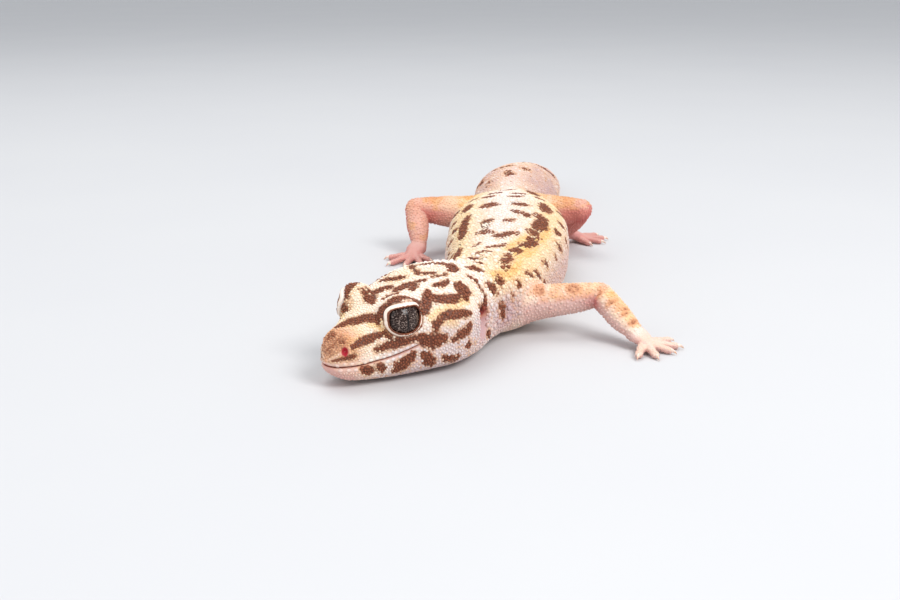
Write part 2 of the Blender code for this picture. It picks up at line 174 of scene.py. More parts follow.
CROWN_STROKES = (
    (2.1, 5.2, -20, 6.2, -4, 7.2, 5, 8.2, 12, 9, 20, 9.2, 28), (2.2, 12, -14, 12.1, -8, 11.7, -1),
    (1.2, 12.6, -40, 11.2, -39, 9.6, -40), (1.6, 13.4, -16, 14.4, -8, 15.8, -1),
    (0.9, 12.8, 5, 14, 9, 15, 12), (1.6, 15.4, 7, 17.2, 9, 18.7, 11), (0.9, 18.7, 11, 19.8, 12, 21, 14),
    (1.2, 18.6, 13, 17.9, 17, 17.2, 19), (1.5, 17.3, -21, 17.9, -11, 18.6, -3, 19.8, -1),
    (1.1, 19.2, -36, 21, -27), (0.9, 25.2, -20, 23.8, -11, 22.6, -2), (1.5, 22, 1, 23.2, 7, 24, 10),
    (0.9, 22.6, 14, 24.2, 18, 25.6, 19), (1.1, 25.6, -14, 27, -9, 28.6, -3),
    (2.2, 28.6, -3, 29.2, 4, 28.6, 11, 27.6, 18), (1.5, 21, 27, 22.1, 30, 23.8, 28),
    (1.8, 31.8, 18, 33.2, 22, 34, 28), (1.5, 39.8, -11, 39.4, -4, 38.6, 2), (1.3, 33.4, -16, 34.6, -8),
    (1, 36, 8, 37.2, 13),
)
# The dark chain along the left of the back, and the loose spots between it and the flanks.
BACK_STROKES = (
    (2.2, 32.8, 52, 34, 58, 34.6, 62), (2.2, 37.3, 43, 37.4, 48, 36.4, 55),
    (2, 46.2, 20, 44, 25, 42, 31, 40.4, 37), (2.1, 48.6, 19, 50.2, 25), (2, 53, 24, 54.4, 30),
    (2.6, 57.2, 31, 55.8, 35), (2.9, 61.6, 24, 61, 29, 60.2, 35), (3.4, 64.5, 30, 67.5, 33, 70.5, 34),
    (3.5, 74.5, 28, 71.5, 31), (3.1, 80, 32, 84, 35, 88, 33), (3.1, 95, 30, 100, 33),
    (2.9, 107, 34, 112, 30), (1.6, 44.4, -10, 45.6, -4, 45.6, 1), (1.1, 48.6, -4, 50.4, 3, 51.6, 8),
    (1.1, 50.4, -22, 51.6, -14), (3, 58.6, -20, 58.8, -14, 58.2, -9),
    (2.2, 55.4, -2, 57.6, 5, 58.4, 11, 57.6, 14), (2.2, 65.5, -16, 66.5, -10), (2.2, 65.8, 1, 66.3, 5),
    (2.4, 74.5, 4, 72.5, 11, 70.5, 16), (3.5, 82, 6, 81.5, 13), (4.2, 80, -17, 82, -13, 81, -9),
    (3, 92, 2, 93.5, 8), (3.5, 93, -20, 95, -14), (3.2, 101, 6, 103, 12), (3.5, 103, -16, 105, -9),
    (3, 112, -4, 113.5, 3), (3, 118, 12, 120, 18), (3, 119, -18, 121, -12),
    (2.3, 60, -43, 66, -41, 71, -39, 75, -36), (2.9, 83, -40, 88, -38), (2.9, 95, -38, 101, -36),
    (2, 44, -42, 48, -44, 52, -44),
)
# Spots on the flanks, on both sides.
FLANK_STROKES = (
    (2.6, 35.4, 84, 35.9, 88, 36.3, 92), (1.3, 41, 62, 41.2, 69), (1, 38.8, 72, 38.8, 79),
    (1.7, 44.6, 56, 45, 63), (1.3, 46.8, 60, 47.4, 66, 48, 75), (1.7, 44.5, 76, 44.7, 83),
    (1.4, 49.5, 83, 50.5, 88), (1.2, 52, 58, 53.2, 64, 53.8, 70), (1.4, 60, 69, 60.6, 73),
    (2, 64.8, 63, 65.4, 71), (1.8, 69, 52, 70.5, 58), (2.1, 73, 74, 74.5, 82), (2.2, 78, 56, 80, 63),
    (2.2, 84, 76, 85.5, 84), (2.3, 89, 55, 91, 63), (2.3, 95, 72, 97, 80), (2.2, 101, 54, 103, 62),
    (2.1, 108, 78, 110, 86),
)
# Yellow over the eyes and on the snout, on both sides.
YELLOW_STREAKS = (
    (2, 16.8, 61, 18.5, 59, 20.4, 58, 22.5, 57, 25, 57), (1.7, 3, 28, 3.6, 38, 4.6, 46),
    (1.2, 7.6, 30, 8.4, 42, 9.2, 60), (1.3, 19, 71, 21, 75),
)
# Orange beside the dark chain.
GOLD_STREAKS = (
    (2.6, 36, 38, 39.5, 48, 43, 44, 46, 38), (3.2, 47, 30, 51, 34, 54, 38), (2.2, 49, 12, 54, 18, 58, 24),
    (2.4, 58, 38, 63, 42, 68, 42),
)
# Brown spots on the arms: place along the arm (elbow 1, wrist 2), angle around it, and width.
ARM_SPOTS = (
    (0.4, 120, 1.5), (0.74, 122, 1.7), (1.06, 140, 1.5), (1.38, 122, 1.7), (1.7, 112, 1.3), (1.9, 92, 1.6),
    (1.62, 84, 1.1),
)

# ---- the coat

# In millimetres: stations at which the scales change, and the least distance from root to root.
NOSE_END, FACE_END, HEAD_END, NAPE_END, KNOBS_END = 12, 15, 31, 43, 186
NOSE_GAP, HEAD_GAP, BODY_GAP = 0.38, 0.46, 0.6
NAPE_KNOB_GAP, CROWN_KNOB_GAP, BACK_KNOB_GAP, LEG_KNOB_GAP, BESIDE_KNOB = 1.45, 1.5, 2.3, 2.0, 0.62
# The radius of a scale's patch on the coat's map, which is 1 wide.
PATCH = 0.0014
# The stations between which each piece of the body's coat lies.
COAT_PIECES = {
    "neck": (30, 52),
    "chest": (52, 76),
    "loins": (76, 100),
    "hips": (100, 130),
    "tail_base": (130, 160),
    "tail_tip": (160, 210),
}

# ---- lights and camera

# Place from the head in metres, size and power.
LIGHTS = {
    "key": ((0.42, -0.30, 0.52), 0.3, 3.6),
    "top": ((-0.15, 0.25, 0.7), 0.5, 1.9),
    "fill": ((-0.5, -0.45, 0.35), 0.5, 0.8),
}
# Place in the animal's plan, focal length, width of the sensor, and degrees of turn, of tilt and of roll.
CAMERA_PLACE, CAMERA_LENS, CAMERA_SENSOR = (47.48, -179.77, 71.64), 45.79, 36
CAMERA_TURN, CAMERA_TILT, CAMERA_ROLL = 8.1, 16.769, -0.539


def smooth(x, knots, values):
    """A curve through the knots that never overshoots them (a monotone cubic)."""
    knots, values = np.asarray(knots, float), np.asarray(values, float)
    step = np.diff(knots)
    slope = np.diff(values) / step
    before, after = slope[:-1], slope[1:]
    mean = 2 * before * after / np.where(before + after == 0, 1, before + after)
    inner = np.where(before * after > 0, mean, 0)
    tangent = np.concatenate([slope[:1], inner, slope[-1:]])
    x = np.clip(x, knots[0], knots[-1])
    i = np.clip(np.searchsorted(knots, x, side="right") - 1, 0, len(step) - 1)
    t = (x - knots[i]) / step[i]
    return (
        values[i] * (1 + 2 * t) * (1 - t) ** 2
        + tangent[i] * step[i] * t * (1 - t) ** 2
        + values[i + 1] * t**2 * (3 - 2 * t)
        + tangent[i + 1] * step[i] * t**2 * (t - 1)
    )


def ease(x, low, high):
    """0 below low, 1 above high, and a smooth S between them. It falls instead where low is the larger."""
    t = np.clip((x - low) / (high - low), 0, 1)
    return t * t * (3 - 2 * t)


def band(x, start, full, fading, end):
    """1 between full and fading, and down to 0 at start and at end, by the same S."""
    return ease(x, start, full) * ease(x, end, fading)


def hill(x, width):
    """A bell, 1 at x = 0: the exponential of minus the square of x over the width."""
    return np.exp(-((x / width) ** 2))


def circle(count):
    """Angles at even steps, once round."""
    return np.arange(count) * 2 * pi / count


def unit(v):
    """Each vector divided by its length."""
    return v / np.maximum(np.linalg.norm(v, axis=-1, keepdims=True), 1e-12)


def noise(points, size, seed=0):
    """Smooth noise between -1 and 1: hashed values on a cubic lattice of that size, blended by an S curve."""
    q = points / size + seed * 7.31
    cell = np.floor(q).astype(np.int64)
    t = q - cell
    t = t * t * (3 - 2 * t)
    total = np.zeros(len(points))
    for corner in product((0, 1), repeat=3):
        x, y, z = (cell + corner).T
        mixed = (x * 73856093) ^ (y * 19349663) ^ (z * 83492791) ^ (seed * 2654435)
        mixed = (mixed ^ (mixed >> 13)) * 1274126177
        value = ((mixed ^ (mixed >> 16)) & 0xFFFF) / 32767.5 - 1
        total += value * np.prod(np.where(corner, t, 1 - t), axis=1)
    return total


# ---- body and legs


def heading(station):
    """The spine's way from head to tail, in radians to the animal's left of +Y."""
    return np.radians(smooth(station, BEND_STATIONS, BEND_DEGREES))


FINE = np.linspace(-5, TAIL_END + 5, 2000)
WAY = heading((FINE[1:] + FINE[:-1]) / 2)
PLAN = np.cumsum(np.vstack([[0, 0], np.stack([np.sin(WAY), np.cos(WAY)], 1) * (FINE[1] - FINE[0])]), axis=0)
PLAN -= [np.interp(0, FINE, PLAN[:, 0]), np.interp(0, FINE, PLAN[:, 1])]


def spine(station):
    """Plan position of the spine: its heading summed from the snout."""
    return np.stack([np.interp(station, FINE, PLAN[:, 0]), np.interp(station, FINE, PLAN[:, 1])], -1)


def place(station, side, height):
    """The point at a station, that far to the left of the spine and that high."""
    way = heading(station)
    middle = spine(station)
    x = middle[..., 0] + side * np.cos(way)
    y = middle[..., 1] - side * np.sin(way)
    return np.stack([x, y, np.broadcast_to(height, x.shape)], -1)


def section(station):
    """Half width, then heights of the back, of the widest level and of the underside, at a station."""
    knots, *columns = zip(*BODY_SECTIONS)
    return [smooth(station, knots, column) for column in columns]


def body_reach(station, angle):
    """Direction, as side and rise, and length of the line from a section's middle to the body's surface.

    A section is a superellipse, squarer below its widest level than above, shrunk to a round end at snout
    and tail, with the swellings added away from its middle.
    """
    wide, back, level, under = section(station)
    from_snout = np.clip(station / SNOUT_CAP, 0, 1)
    from_tail = np.clip((TAIL_END - station) / TAIL_CAP, 0, 1)
    cap = np.sqrt(1 - (1 - from_snout) ** 2) * np.sqrt(1 - (1 - from_tail) ** 2)
    up = np.cos(angle)
    power = 2 / np.where(up > 0, smooth(station, ROUNDNESS_STATIONS, UPPER_ROUNDNESS), LOWER_ROUNDNESS)
    rise = np.where(up > 0, back - level, level - under)
    side = cap * wide * np.sign(np.sin(angle)) * np.abs(np.sin(angle)) ** power
    high = cap * rise * np.sign(up) * np.abs(up) ** power
    out = 0.0
    for at, degrees, along, around, height in SWELLINGS:
        turn = (np.abs(angle) - radians(degrees)) / radians(around)
        out = out + height * cap * np.exp(-(((station - at) / along) ** 2) - turn**2)
    reach = np.maximum(np.hypot(side, high), 1e-6)
    return side / reach, high / reach, reach + out, level


def body_point(station, degrees, grow=0.0):
    """The body's surface at a station and an angle, moved out by grow and kept above the floor."""
    side, high, reach, level = body_reach(np.asarray(station, float), np.radians(degrees))
    point = place(np.asarray(station, float), (reach + grow) * side, level + (reach + grow) * high)
    point[..., 2] = np.maximum(point[..., 2], SOLE)
    return point


def spot(where, mirror):
    """The skin's place at a station and angle, on the left side for 1 and on the right for -1."""
    return body_point(where[0], mirror * where[1], -COAT)


def body_coordinates(points):
    """Station, angle in radians, and height over the body's surface, for any points.

    The nearest of many places on the spine is refined by the offset along the spine's own way, and the
    angle undoes the superellipse's powers.
    """
    places = np.arange(-4, TAIL_END + 4, 0.5)
    line = spine(places)
    nearest = [
        ((part[:, None] - line[None]) ** 2).sum(-1).argmin(1)
        for part in np.array_split(points[:, :2], len(points) // AT_ONCE + 1)
    ]
    station = places[np.concatenate(nearest)]
    for _ in range(3):
        way = heading(station)
        offset = points[:, :2] - spine(station)
        station = station + offset[:, 0] * np.sin(way) + offset[:, 1] * np.cos(way)
        station = np.clip(station, 0.02, TAIL_END - 0.02)
    way = heading(station)
    offset = points[:, :2] - spine(station)
    side = offset[:, 0] * np.cos(way) - offset[:, 1] * np.sin(way)
    wide, back, level, under = section(station)
    high = points[:, 2] - level
    rise = np.where(high > 0, back - level, level - under)
    power = np.where(high > 0, smooth(station, ROUNDNESS_STATIONS, UPPER_ROUNDNESS), LOWER_ROUNDNESS) / 2
    angle = np.arctan2(
        np.sign(side) * np.abs(side / wide) ** power, np.sign(high) * np.abs(high / rise) ** power
    )
    return station, angle, np.hypot(side, high) - body_reach(station, angle)[2]


def leg_joints(leg):
    """Places of the root, elbow or knee, wrist or ankle, and toe roots."""
    side, station, offset, height, *places = LEGS[leg]
    return np.array([place(np.float64(station), side * offset, height), *places])


def leg_sizes(leg):
    """Half widths and half heights at the seven knots of a leg."""
    front = leg.startswith("front")
    wide = FRONT_LEG_WIDTHS if front else HIND_LEG_WIDTHS
    high = FRONT_LEG_HEIGHTS if front else HIND_LEG_HEIGHTS
    return np.array(wide), np.array(high)


def toe_lines(leg):
    """Root, way in plan as a unit vector, and length of each toe."""
    wrist, roots = leg_joints(leg)[2:]
    palm = roots - wrist
    lines = []
    for spread, length in FRONT_TOES if leg.startswith("front") else HIND_TOES:
        way = np.arctan2(palm[1], palm[0]) - LEGS[leg][0] * radians(spread)
        lines.append(((roots - 0.2 * palm)[:2], np.array([cos(way), sin(way)]), length))
    return lines


def toe_radius(t):
    """Half thickness along a toe: a taper, with a swelling at the knuckle and at the pad before the claw."""
    return 1.02 - 0.3 * t + 0.1 * hill(t - 0.48, 0.13) + 0.1 * hill(t - 0.88, 0.1)


def tube_rings(middle, width, height, around):
    """Rings round a path: ellipses that lie across it, with their width level, kept above the floor."""
    ahead = unit(np.gradient(middle, axis=0))
    across = unit(np.cross([0, 0, 1.0], ahead))
    up = np.cross(ahead, across)
    turn = circle(around)
    rings = (
        middle[:, None]
        + np.cos(turn)[None, :, None] * (width[:, None] * across)[:, None]
        + np.sin(turn)[None, :, None] * (height[:, None] * up)[:, None]
    )
    rings[..., 2] = np.maximum(rings[..., 2], SOLE)
    return rings


def limb_rings(leg):
    """Rings over the three lengths of a leg and its toes, each an ellipse that tapers to a round end."""
    joints = leg_joints(leg)
    wide, high = leg_sizes(leg)
    t = np.linspace(0, 1, 16)
    bulge = np.linspace(0.15, 0.5 * pi - 0.06, 9)
    shapes = []
    for bone in range(3):
        start, end = joints[bone:bone + 2]
        length = np.linalg.norm(end - start)
        cap = wide[2 * bone + 2] * 0.95 - COAT
        along = np.concatenate([t * length, length + cap * np.sin(bulge)])
        round_end = np.concatenate([np.ones(len(t)), np.cos(bulge)])
        knots = np.array([0, 0.5, 1]) * length
        width = (smooth(along, knots, wide[2 * bone:2 * bone + 3]) - COAT) * round_end
        height = (smooth(along, knots, high[2 * bone:2 * bone + 3]) - COAT) * round_end
        middle = start + along[:, None] * (end - start) / length
        shapes.append(tube_rings(middle, width, height, 32))
    for root, way, length in toe_lines(leg):
        tip = np.linspace(0.1, 0.5 * pi - 0.08, 6)
        along = np.concatenate([np.linspace(0, 0.9, 14) * length, length * 0.9 + 0.75 * np.sin(tip)])
        radius = toe_radius(np.minimum(along / length, 1)) - 0.08
        radius[14:] *= np.cos(tip)
        level = smooth(along / length, TOE_KNOTS, TOE_HEIGHTS)
        middle = np.column_stack([root + along[:, None] * way, level])
        shapes.append(tube_rings(middle, radius, radius * 0.92, 18))
    return shapes


def leg_coordinates(points, leg):
    """Place along a leg (0 root, 1 elbow or knee, 2 wrist or ankle, 3 toe roots, 4 toe tips), the angle
    round it from its outer side, and the height over its surface, for any points.

    Each length is an ellipse swept along its bone: a point's offset is divided by the half axes there.
    """
    joints = leg_joints(leg)
    wide, high = leg_sizes(leg)
    best = np.full(len(points), 1e3)
    along, turn = np.zeros(len(points)), np.zeros(len(points))
    lengths = [(joints[b], joints[b + 1], b, 1) for b in range(3)]
    for root, way, length in toe_lines(leg):
        start, bend, tip = (
            np.array([*(root + way * length * TOE_KNOTS[k]), TOE_HEIGHTS[k]]) for k in (0, 1, 3)
        )
        lengths += [(start, bend, 3, 0.45), (bend, tip, 3.45, 0.55)]
    for start, end, first, span in lengths:
        length = np.linalg.norm(end - start)
        ahead = (end - start) / length
        across = unit(np.cross([0, 0, 1.0], ahead))
        up = np.cross(ahead, across)
        t = np.clip((points - start) @ ahead / length, 0, 1)
        off = points - start - t[:, None] * (end - start)
        part = first + t * span
        if first < 3:
            width = smooth(t, (0, 0.5, 1), wide[2 * first:2 * first + 3])
            height = smooth(t, (0, 0.5, 1), high[2 * first:2 * first + 3])
        else:
            width = height = toe_radius(part - 3)
        mean = (width + height) / 2
        scaled = np.stack([off @ across / width, off @ up / height, off @ ahead / mean], 1)
        over = (np.linalg.norm(scaled, axis=1) - 1) * mean
        near = over < best
        best = np.where(near, over, best)
        along = np.where(near, part, along)
        turn = np.where(near, np.arctan2(off @ up, off @ across), turn)
    return along, turn, best


def coordinates(points):
    """All that the folds and markings need to know of each point."""
    station, angle, over = body_coordinates(points)
    found = {"p": points, "s": station, "a": np.degrees(angle), "body": over}
    found["leg"] = np.full(len(points), 1e3)
    found["t"] = np.zeros(len(points))
    found["turn"] = np.zeros(len(points))
    found["which"] = np.zeros(len(points), int)
    for n, leg in enumerate(LEGS):
        t, turn, height = leg_coordinates(points, leg)
        near = height < found["leg"]
        for key, value in (("leg", height), ("t", t), ("turn", turn), ("which", n)):
            found[key] = np.where(near, value, found[key])
    found["limb"] = ease(found["body"] - found["leg"], -0.6, 0.6)
    return found


# ---- the eyes' frame


def eye_axes(side):
    """The eye's middle, and the unit ways out of the head, forward and up the opening."""
    middle = place(np.float64(EYE_STATION), side * EYE_SIDE, EYE_HEIGHT)
    way = float(heading(EYE_STATION))
    left = np.array([cos(way), -sin(way), 0])
    front = np.array([-sin(way), -cos(way), 0])
    out = unit(side * left + EYE_FORWARD * front + EYE_UPWARD * np.array([0, 0, 1]))
    along = unit(front - out * (front @ out))
    up = np.cross(out, along)
    return middle, out, along, up * np.sign(up[2])


def opening(turn, long, tall):
    """A rounded outline, squarer above than below: each axis goes as a power of the cosine or the sine."""
    power = 2 / np.where(np.sin(turn) > 0, LID_SQUARENESS_ABOVE, LID_SQUARENESS_BELOW)
    a = long * np.sign(np.cos(turn)) * np.abs(np.cos(turn)) ** power
    b = tall * np.sign(np.sin(turn)) * np.abs(np.sin(turn)) ** power
    return a, b


def lid_line(side, count=72):
    """The lids' middle line, and their half thickness along it.

    The line is the opening's outline, laid on the eyeball, or on the head where that stands out more. The
    lids are thicker above and in front than behind and below.
    """
    middle, out, along, up = eye_axes(side)
    a, b = opening(circle(count), LID_LONG, LID_TALL)
    flat = middle + a[:, None] * along + b[:, None] * up
    on_ball = np.sqrt(np.maximum((EYE_RADIUS + 0.1) ** 2 - a**2 - b**2, 0.3))
    steps = np.linspace(0, 5, 51)
    ray = flat[:, None] + steps[None, :, None] * out
    inside = body_coordinates(ray.reshape(-1, 3))[2].reshape(count, -1) < -COAT
    on_head = np.where(inside.any(1), steps[50 - inside[:, ::-1].argmax(1)], 0)
    height = np.maximum(on_ball, on_head + 0.05)
    for _ in range(4):
        height = (np.roll(height, 1) + 2 * height + np.roll(height, -1)) / 4
    thick = ease(np.sin(circle(count) + radians(20)), -0.3, 0.4)
    return flat + height[:, None] * out, LID_RADII[0] + (LID_RADII[1] - LID_RADII[0]) * thick


LID_LINES = {side: lid_line(side) for side in (1, -1)}


def lid_rings(side):
    """A tube along the lids' line, closed on itself, and thicker along the upper lid."""
    line, radius = LID_LINES[side]
    outward = unit(line - eye_axes(side)[0])
    ahead = unit(np.roll(line, -1, 0) - np.roll(line, 1, 0))
    across = unit(np.cross(ahead, outward))
    turn = circle(14)
    return line[:, None] + radius[:, None, None] * (
        np.cos(turn)[None, :, None] * outward[:, None] + np.sin(turn)[None, :, None] * across[:, None]
    )


# ---- meshes


def closed_mesh(name, rings, loop=False):
    """A closed mesh over rings of points: its ends are closed by a polygon each, or it runs into itself."""
    count, around = rings.shape[:2]
    i, j = np.meshgrid(np.arange(count if loop else count - 1), np.arange(around), indexing="ij")
    n, k = (i + 1) % count, (j + 1) % around
    quads = np.stack([i * around + j, i * around + k, n * around + k, n * around + j], -1)
    faces = quads.reshape(-1, 4).tolist()
    if not loop:
        faces += [np.arange(around)[::-1].tolist(), ((count - 1) * around + np.arange(around)).tolist()]
    mesh = bpy.data.meshes.new(name)
    mesh.from_pydata(rings.reshape(-1, 3).tolist(), [], faces)
    work = bmesh.new()
    work.from_mesh(mesh)
    bmesh.ops.recalc_face_normals(work, faces=work.faces)
    work.to_mesh(mesh)
    work.free()
    return mesh


def add(name, data):
    """An object of that mesh, light or camera, in the scene."""
    thing = bpy.data.objects.new(name, data)
    bpy.context.scene.collection.objects.link(thing)
    return thing


def finished(work, name):
    """The mesh of what bmesh has built, which is let go."""
    mesh = bpy.data.meshes.new(name)
    work.to_mesh(mesh)
    work.free()
    return mesh


def applied(thing):
    """The object's mesh with its modifiers applied. The object itself goes."""
    graph = bpy.context.evaluated_depsgraph_get()
    mesh = bpy.data.meshes.new_from_object(thing.evaluated_get(graph))
    bpy.data.objects.remove(thing)
    return mesh


def mesh_of(name, points, faces):
    """A mesh from points and from arrays of faces, each array with its own number of corners."""
    mesh = bpy.data.meshes.new(name)
    corners = np.concatenate([f.ravel() for f in faces])
    sizes = np.concatenate([np.full(len(f), f.shape[1]) for f in faces])
    mesh.vertices.add(len(points))
    mesh.vertices.foreach_set("co", np.asarray(points, np.float32).ravel())
    mesh.loops.add(len(corners))
    mesh.loops.foreach_set("vertex_index", corners.astype(np.int32))
    mesh.polygons.add(len(sizes))
    first = np.concatenate([[0], np.cumsum(sizes)[:-1]])
    mesh.polygons.foreach_set("loop_start", first.astype(np.int32))
    mesh.polygons.foreach_set("loop_total", sizes.astype(np.int32))
    mesh.update(calc_edges=True)
    mesh.shade_smooth()
    return mesh


def move(mesh, points):
    """Puts the mesh's points in new places."""
    mesh.vertices.foreach_set("co", points.astype(np.float32).ravel())
    mesh.update()


def map_points(mesh, name, flat):
    """Gives the mesh a UV map, with one place for each point."""
    corner = np.empty(len(mesh.loops), np.int32)
    mesh.loops.foreach_get("vertex_index", corner)
    mesh.uv_layers.new(name=name).uv.foreach_set("vector", flat[corner].astype(np.float32).ravel())


def read(mesh):
    """Points, triangles and edges of a mesh, as arrays."""
    points = np.empty(len(mesh.vertices) * 3, np.float32)
    mesh.vertices.foreach_get("co", points)
    mesh.calc_loop_triangles()
    triangles = np.empty(len(mesh.loop_triangles) * 3, np.int32)
    mesh.loop_triangles.foreach_get("vertices", triangles)
    edges = np.empty(len(mesh.edges) * 2, np.int32)
    mesh.edges.foreach_get("vertices", edges)
    return points.reshape(-1, 3).astype(float), triangles.reshape(-1, 3), edges.reshape(-1, 2)


def summed(index, values, count):
    """For each of so many points, the sum of the values that the index gives to it."""
    return np.stack([np.bincount(index, values[:, k], count) for k in range(values.shape[1])], 1)


def normals_of(points, triangles):
    """Unit normals at the points: the area-weighted sum of their triangles' normals."""
    a, b, c = (points[triangles[:, k]] for k in range(3))
    face = np.cross(b - a, c - a)
    return unit(sum(summed(triangles[:, k], face, len(points)) for k in range(3)))


def relax(points, edges, share, rounds):
    """Moves each point that share of the way to its neighbours' mean, then a little farther back, so that
    nothing shrinks."""
    count = np.bincount(edges.ravel(), minlength=len(points))[:, None]
    share = np.broadcast_to(share, len(points))[:, None]
    for n in range(2 * rounds):
        around = summed(edges[:, 0], points[edges[:, 1]], len(points))
        around += summed(edges[:, 1], points[edges[:, 0]], len(points))
        points = points + share * (1.0 if n % 2 == 0 else -1.03) * (around / count - points)
    return points


def blank():
    """Body, legs, toes and lids as one closed mesh with open eye sockets, remeshed to an even fine grid."""
    station = np.concatenate([
        SNOUT_CAP * np.linspace(0.03, 1, 16) ** 2,
        np.linspace(SNOUT_CAP + 0.5, TAIL_END - TAIL_CAP, 230),
        TAIL_END - TAIL_CAP * np.linspace(0.93, 0.03, 9) ** 2,
    ])
    angle = np.arange(96) * 360 / 96 - 180
    places = np.meshgrid(station, angle, indexing="ij")
    body = add("body", closed_mesh("body", body_point(*places, -COAT)))
    helpers = []
    for side in (1, -1):
        middle, out, along, up = eye_axes(side)
        turn = np.linspace(0, pi, 20)[1:-1]
        ball = np.cos(turn)[:, None, None] * out
        around = circle(36)
        ring = np.cos(around)[:, None] * along + np.sin(around)[:, None] * up
        ball = ball + np.sin(turn)[:, None, None] * ring[None]
        a, b = opening(around, LID_LONG - LID_HOLE, LID_TALL - LID_HOLE)
        flat = a[:, None] * along + b[:, None] * up
        for name, rings, operation in (
            ("lid", middle + ball * (EYE_RADIUS + LID_DEPTH), "UNION"),
            ("ball", middle + ball * (EYE_RADIUS - SOCKET_DEPTH), "DIFFERENCE"),
            ("shaft", middle + flat[None] + np.array([0.5, 3, 6])[:, None, None] * out, "DIFFERENCE"),
        ):
            helpers.append(add(name, closed_mesh(name, rings)))
            step = body.modifiers.new(name, "BOOLEAN")
            step.operation, step.solver, step.object = operation, "EXACT", helpers[-1]
    work = bmesh.new()
    work.from_mesh(applied(body))
    for side in (1, -1):
        work.from_mesh(closed_mesh("lids", lid_rings(side), loop=True))
    for leg in LEGS:
        for rings in limb_rings(leg):
            work.from_mesh(closed_mesh("limb", rings))
    for thing in helpers:
        bpy.data.objects.remove(thing)
    thing = add("blank", finished(work, "blank"))
    fine = thing.modifiers.new("fine", "REMESH")
    fine.mode, fine.voxel_size, fine.adaptivity = "VOXEL", VOXEL, 0
    return applied(thing)


# ---- folds


def eye_plane(points, side):
    """How far points lie outside the opening as seen from straight ahead, how far out of the head, and how
    far from the lids themselves (9 mm where they are not near)."""
    middle, out, along, up = eye_axes(side)
    off = points - middle
    a, b, h = off @ along, off @ up, off @ out
    power = np.where(b > 0, LID_SQUARENESS_ABOVE, LID_SQUARENESS_BELOW)
    size = ((np.abs(a) / LID_LONG) ** power + (np.abs(b) / LID_TALL) ** power) ** (1 / power)
    near = np.flatnonzero(np.linalg.norm(off, axis=1) < 7)
    away = np.full(len(points), 9.0)
    if len(near):
        line, radius = LID_LINES[side]
        away[near] = (np.sqrt(((points[near, None] - line[None]) ** 2).sum(-1)) - radius).min(1)
    return (size - 1) * 0.5 * (LID_LONG + LID_TALL), h, away


def inward(c):
    """How much a point on a leg faces into its bend: forward on the arms, down on the thighs."""
    return np.where(c["which"] > 1, -np.sin(c["turn"]), -np.cos(c["turn"]))


def mouth_gap(c):
    """Height over the mouth's line, and how much of a mouth there is at that station."""
    over = c["p"][:, 2] - smooth(c["s"], MOUTH_STATIONS, MOUTH_HEIGHTS)
    there = ease(c["s"], MOUTH_CORNER + 0.7, MOUTH_CORNER - 0.7) * ease(-c["limb"], -0.5, 0)
    return over, there


def relief(c):
    """Height of the skin's own folds over its smooth form, in millimetres, negative where they sink in."""
    p, s, side = c["p"], c["s"], np.abs(c["a"])
    body = 1 - c["limb"]
    over, there = mouth_gap(c)
    high = -COAT * body * (hill(s, 0.8) + hill(TAIL_END - s, 0.8))
    high += there * (0.1 * hill(over - 0.75, 0.45) + 0.08 * hill(over + 0.7, 0.45) - 0.45 * hill(over, 0.17))
    high -= 0.16 * hill(over + 0.35 * (s - MOUTH_CORNER), 0.4) * ease(s, 14, 15) * ease(s, 20, 17) * body
    for mirror in (1, -1):
        far = np.linalg.norm(p - spot(NOSTRIL, mirror), axis=1)
        high += 0.13 * hill(far - 0.8, 0.3) - 0.55 * hill(far, 0.5)
        outside, _, away = eye_plane(p, mirror)
        crease = 0.34 * hill(away - 0.22, 0.17) + 0.12 * hill(away - 1.1, 0.25) + 0.08 * hill(away - 1.9, 0.3)
        high -= ease(outside, 0.0, 0.3) * crease
        down = p[:, 2] - spot(EAR, mirror)[2]
        here = ease(mirror * c["a"], 20, 40)
        hole = np.hypot((s - EAR[0] - 0.2 - 0.12 * down) / 1.5, down / 2.8)
        high -= here * 1.7 * ease(hole, 1.3, 0.4)
        high += here * 0.5 * hill(s - EAR[0] + 2.0 - 0.12 * down, 0.5) * hill(down, 3.6)
    sides = ease(side, 55, 85) * body
    wave = 0.5 * noise(p, 4.0, 3)
    for at, lean, depth in NECK_FOLDS:
        high -= sides * depth * hill(s - at - lean * (side - 90) - wave, 0.42)
    trunk = ease(s, 40, 52) * body
    high += trunk * (0.1 * noise(p, 6.5, 5) + 0.07 * noise(p * [1, 1, 0.4], 2.6, 6)) * ease(side, 30, 70)
    tail = ease(s, 127, 133) * ease(s, 205, 196)
    from_first = s - FIRST_RING
    ring = from_first / (RING_LENGTH - RING_SHRINK * from_first) + 0.12 * noise(p, 5, 8)
    high -= tail * 0.24 * hill((ring - np.round(ring)) * 3.3, 0.42)
    limb = c["limb"] * ease(c["t"], 2.6, 2.2)
    high += limb * 0.1 * noise(p, 2.2, 9)
    bend = hill(c["t"] - 0.93, 0.05) + hill(c["t"] - 1.07, 0.05) + 0.8 * hill(c["t"] - 1.93, 0.05)
    high -= limb * 0.2 * bend * ease(inward(c), -0.3, 0.4)
    toes = c["limb"] * ease(c["t"], 3.05, 3.2)
    joint = (c["t"] - 3) * 11
    high -= toes * 0.07 * hill(joint - np.round(joint), 0.24)
    return high


def filleted(points, c, normals):
    """Points moved out where two forms meet, by a share of how near the farther form still is."""
    reach = np.where(c["t"] < 1.3, 3.0, 1.2)
    near = np.abs(c["body"] - c["leg"])
    lift = np.maximum(reach - near, 0) ** 2 / (4 * reach)
    return points + normals * (0.8 * lift * ease(c["t"], 2.0, 1.5))[:, None], lift > 0.02


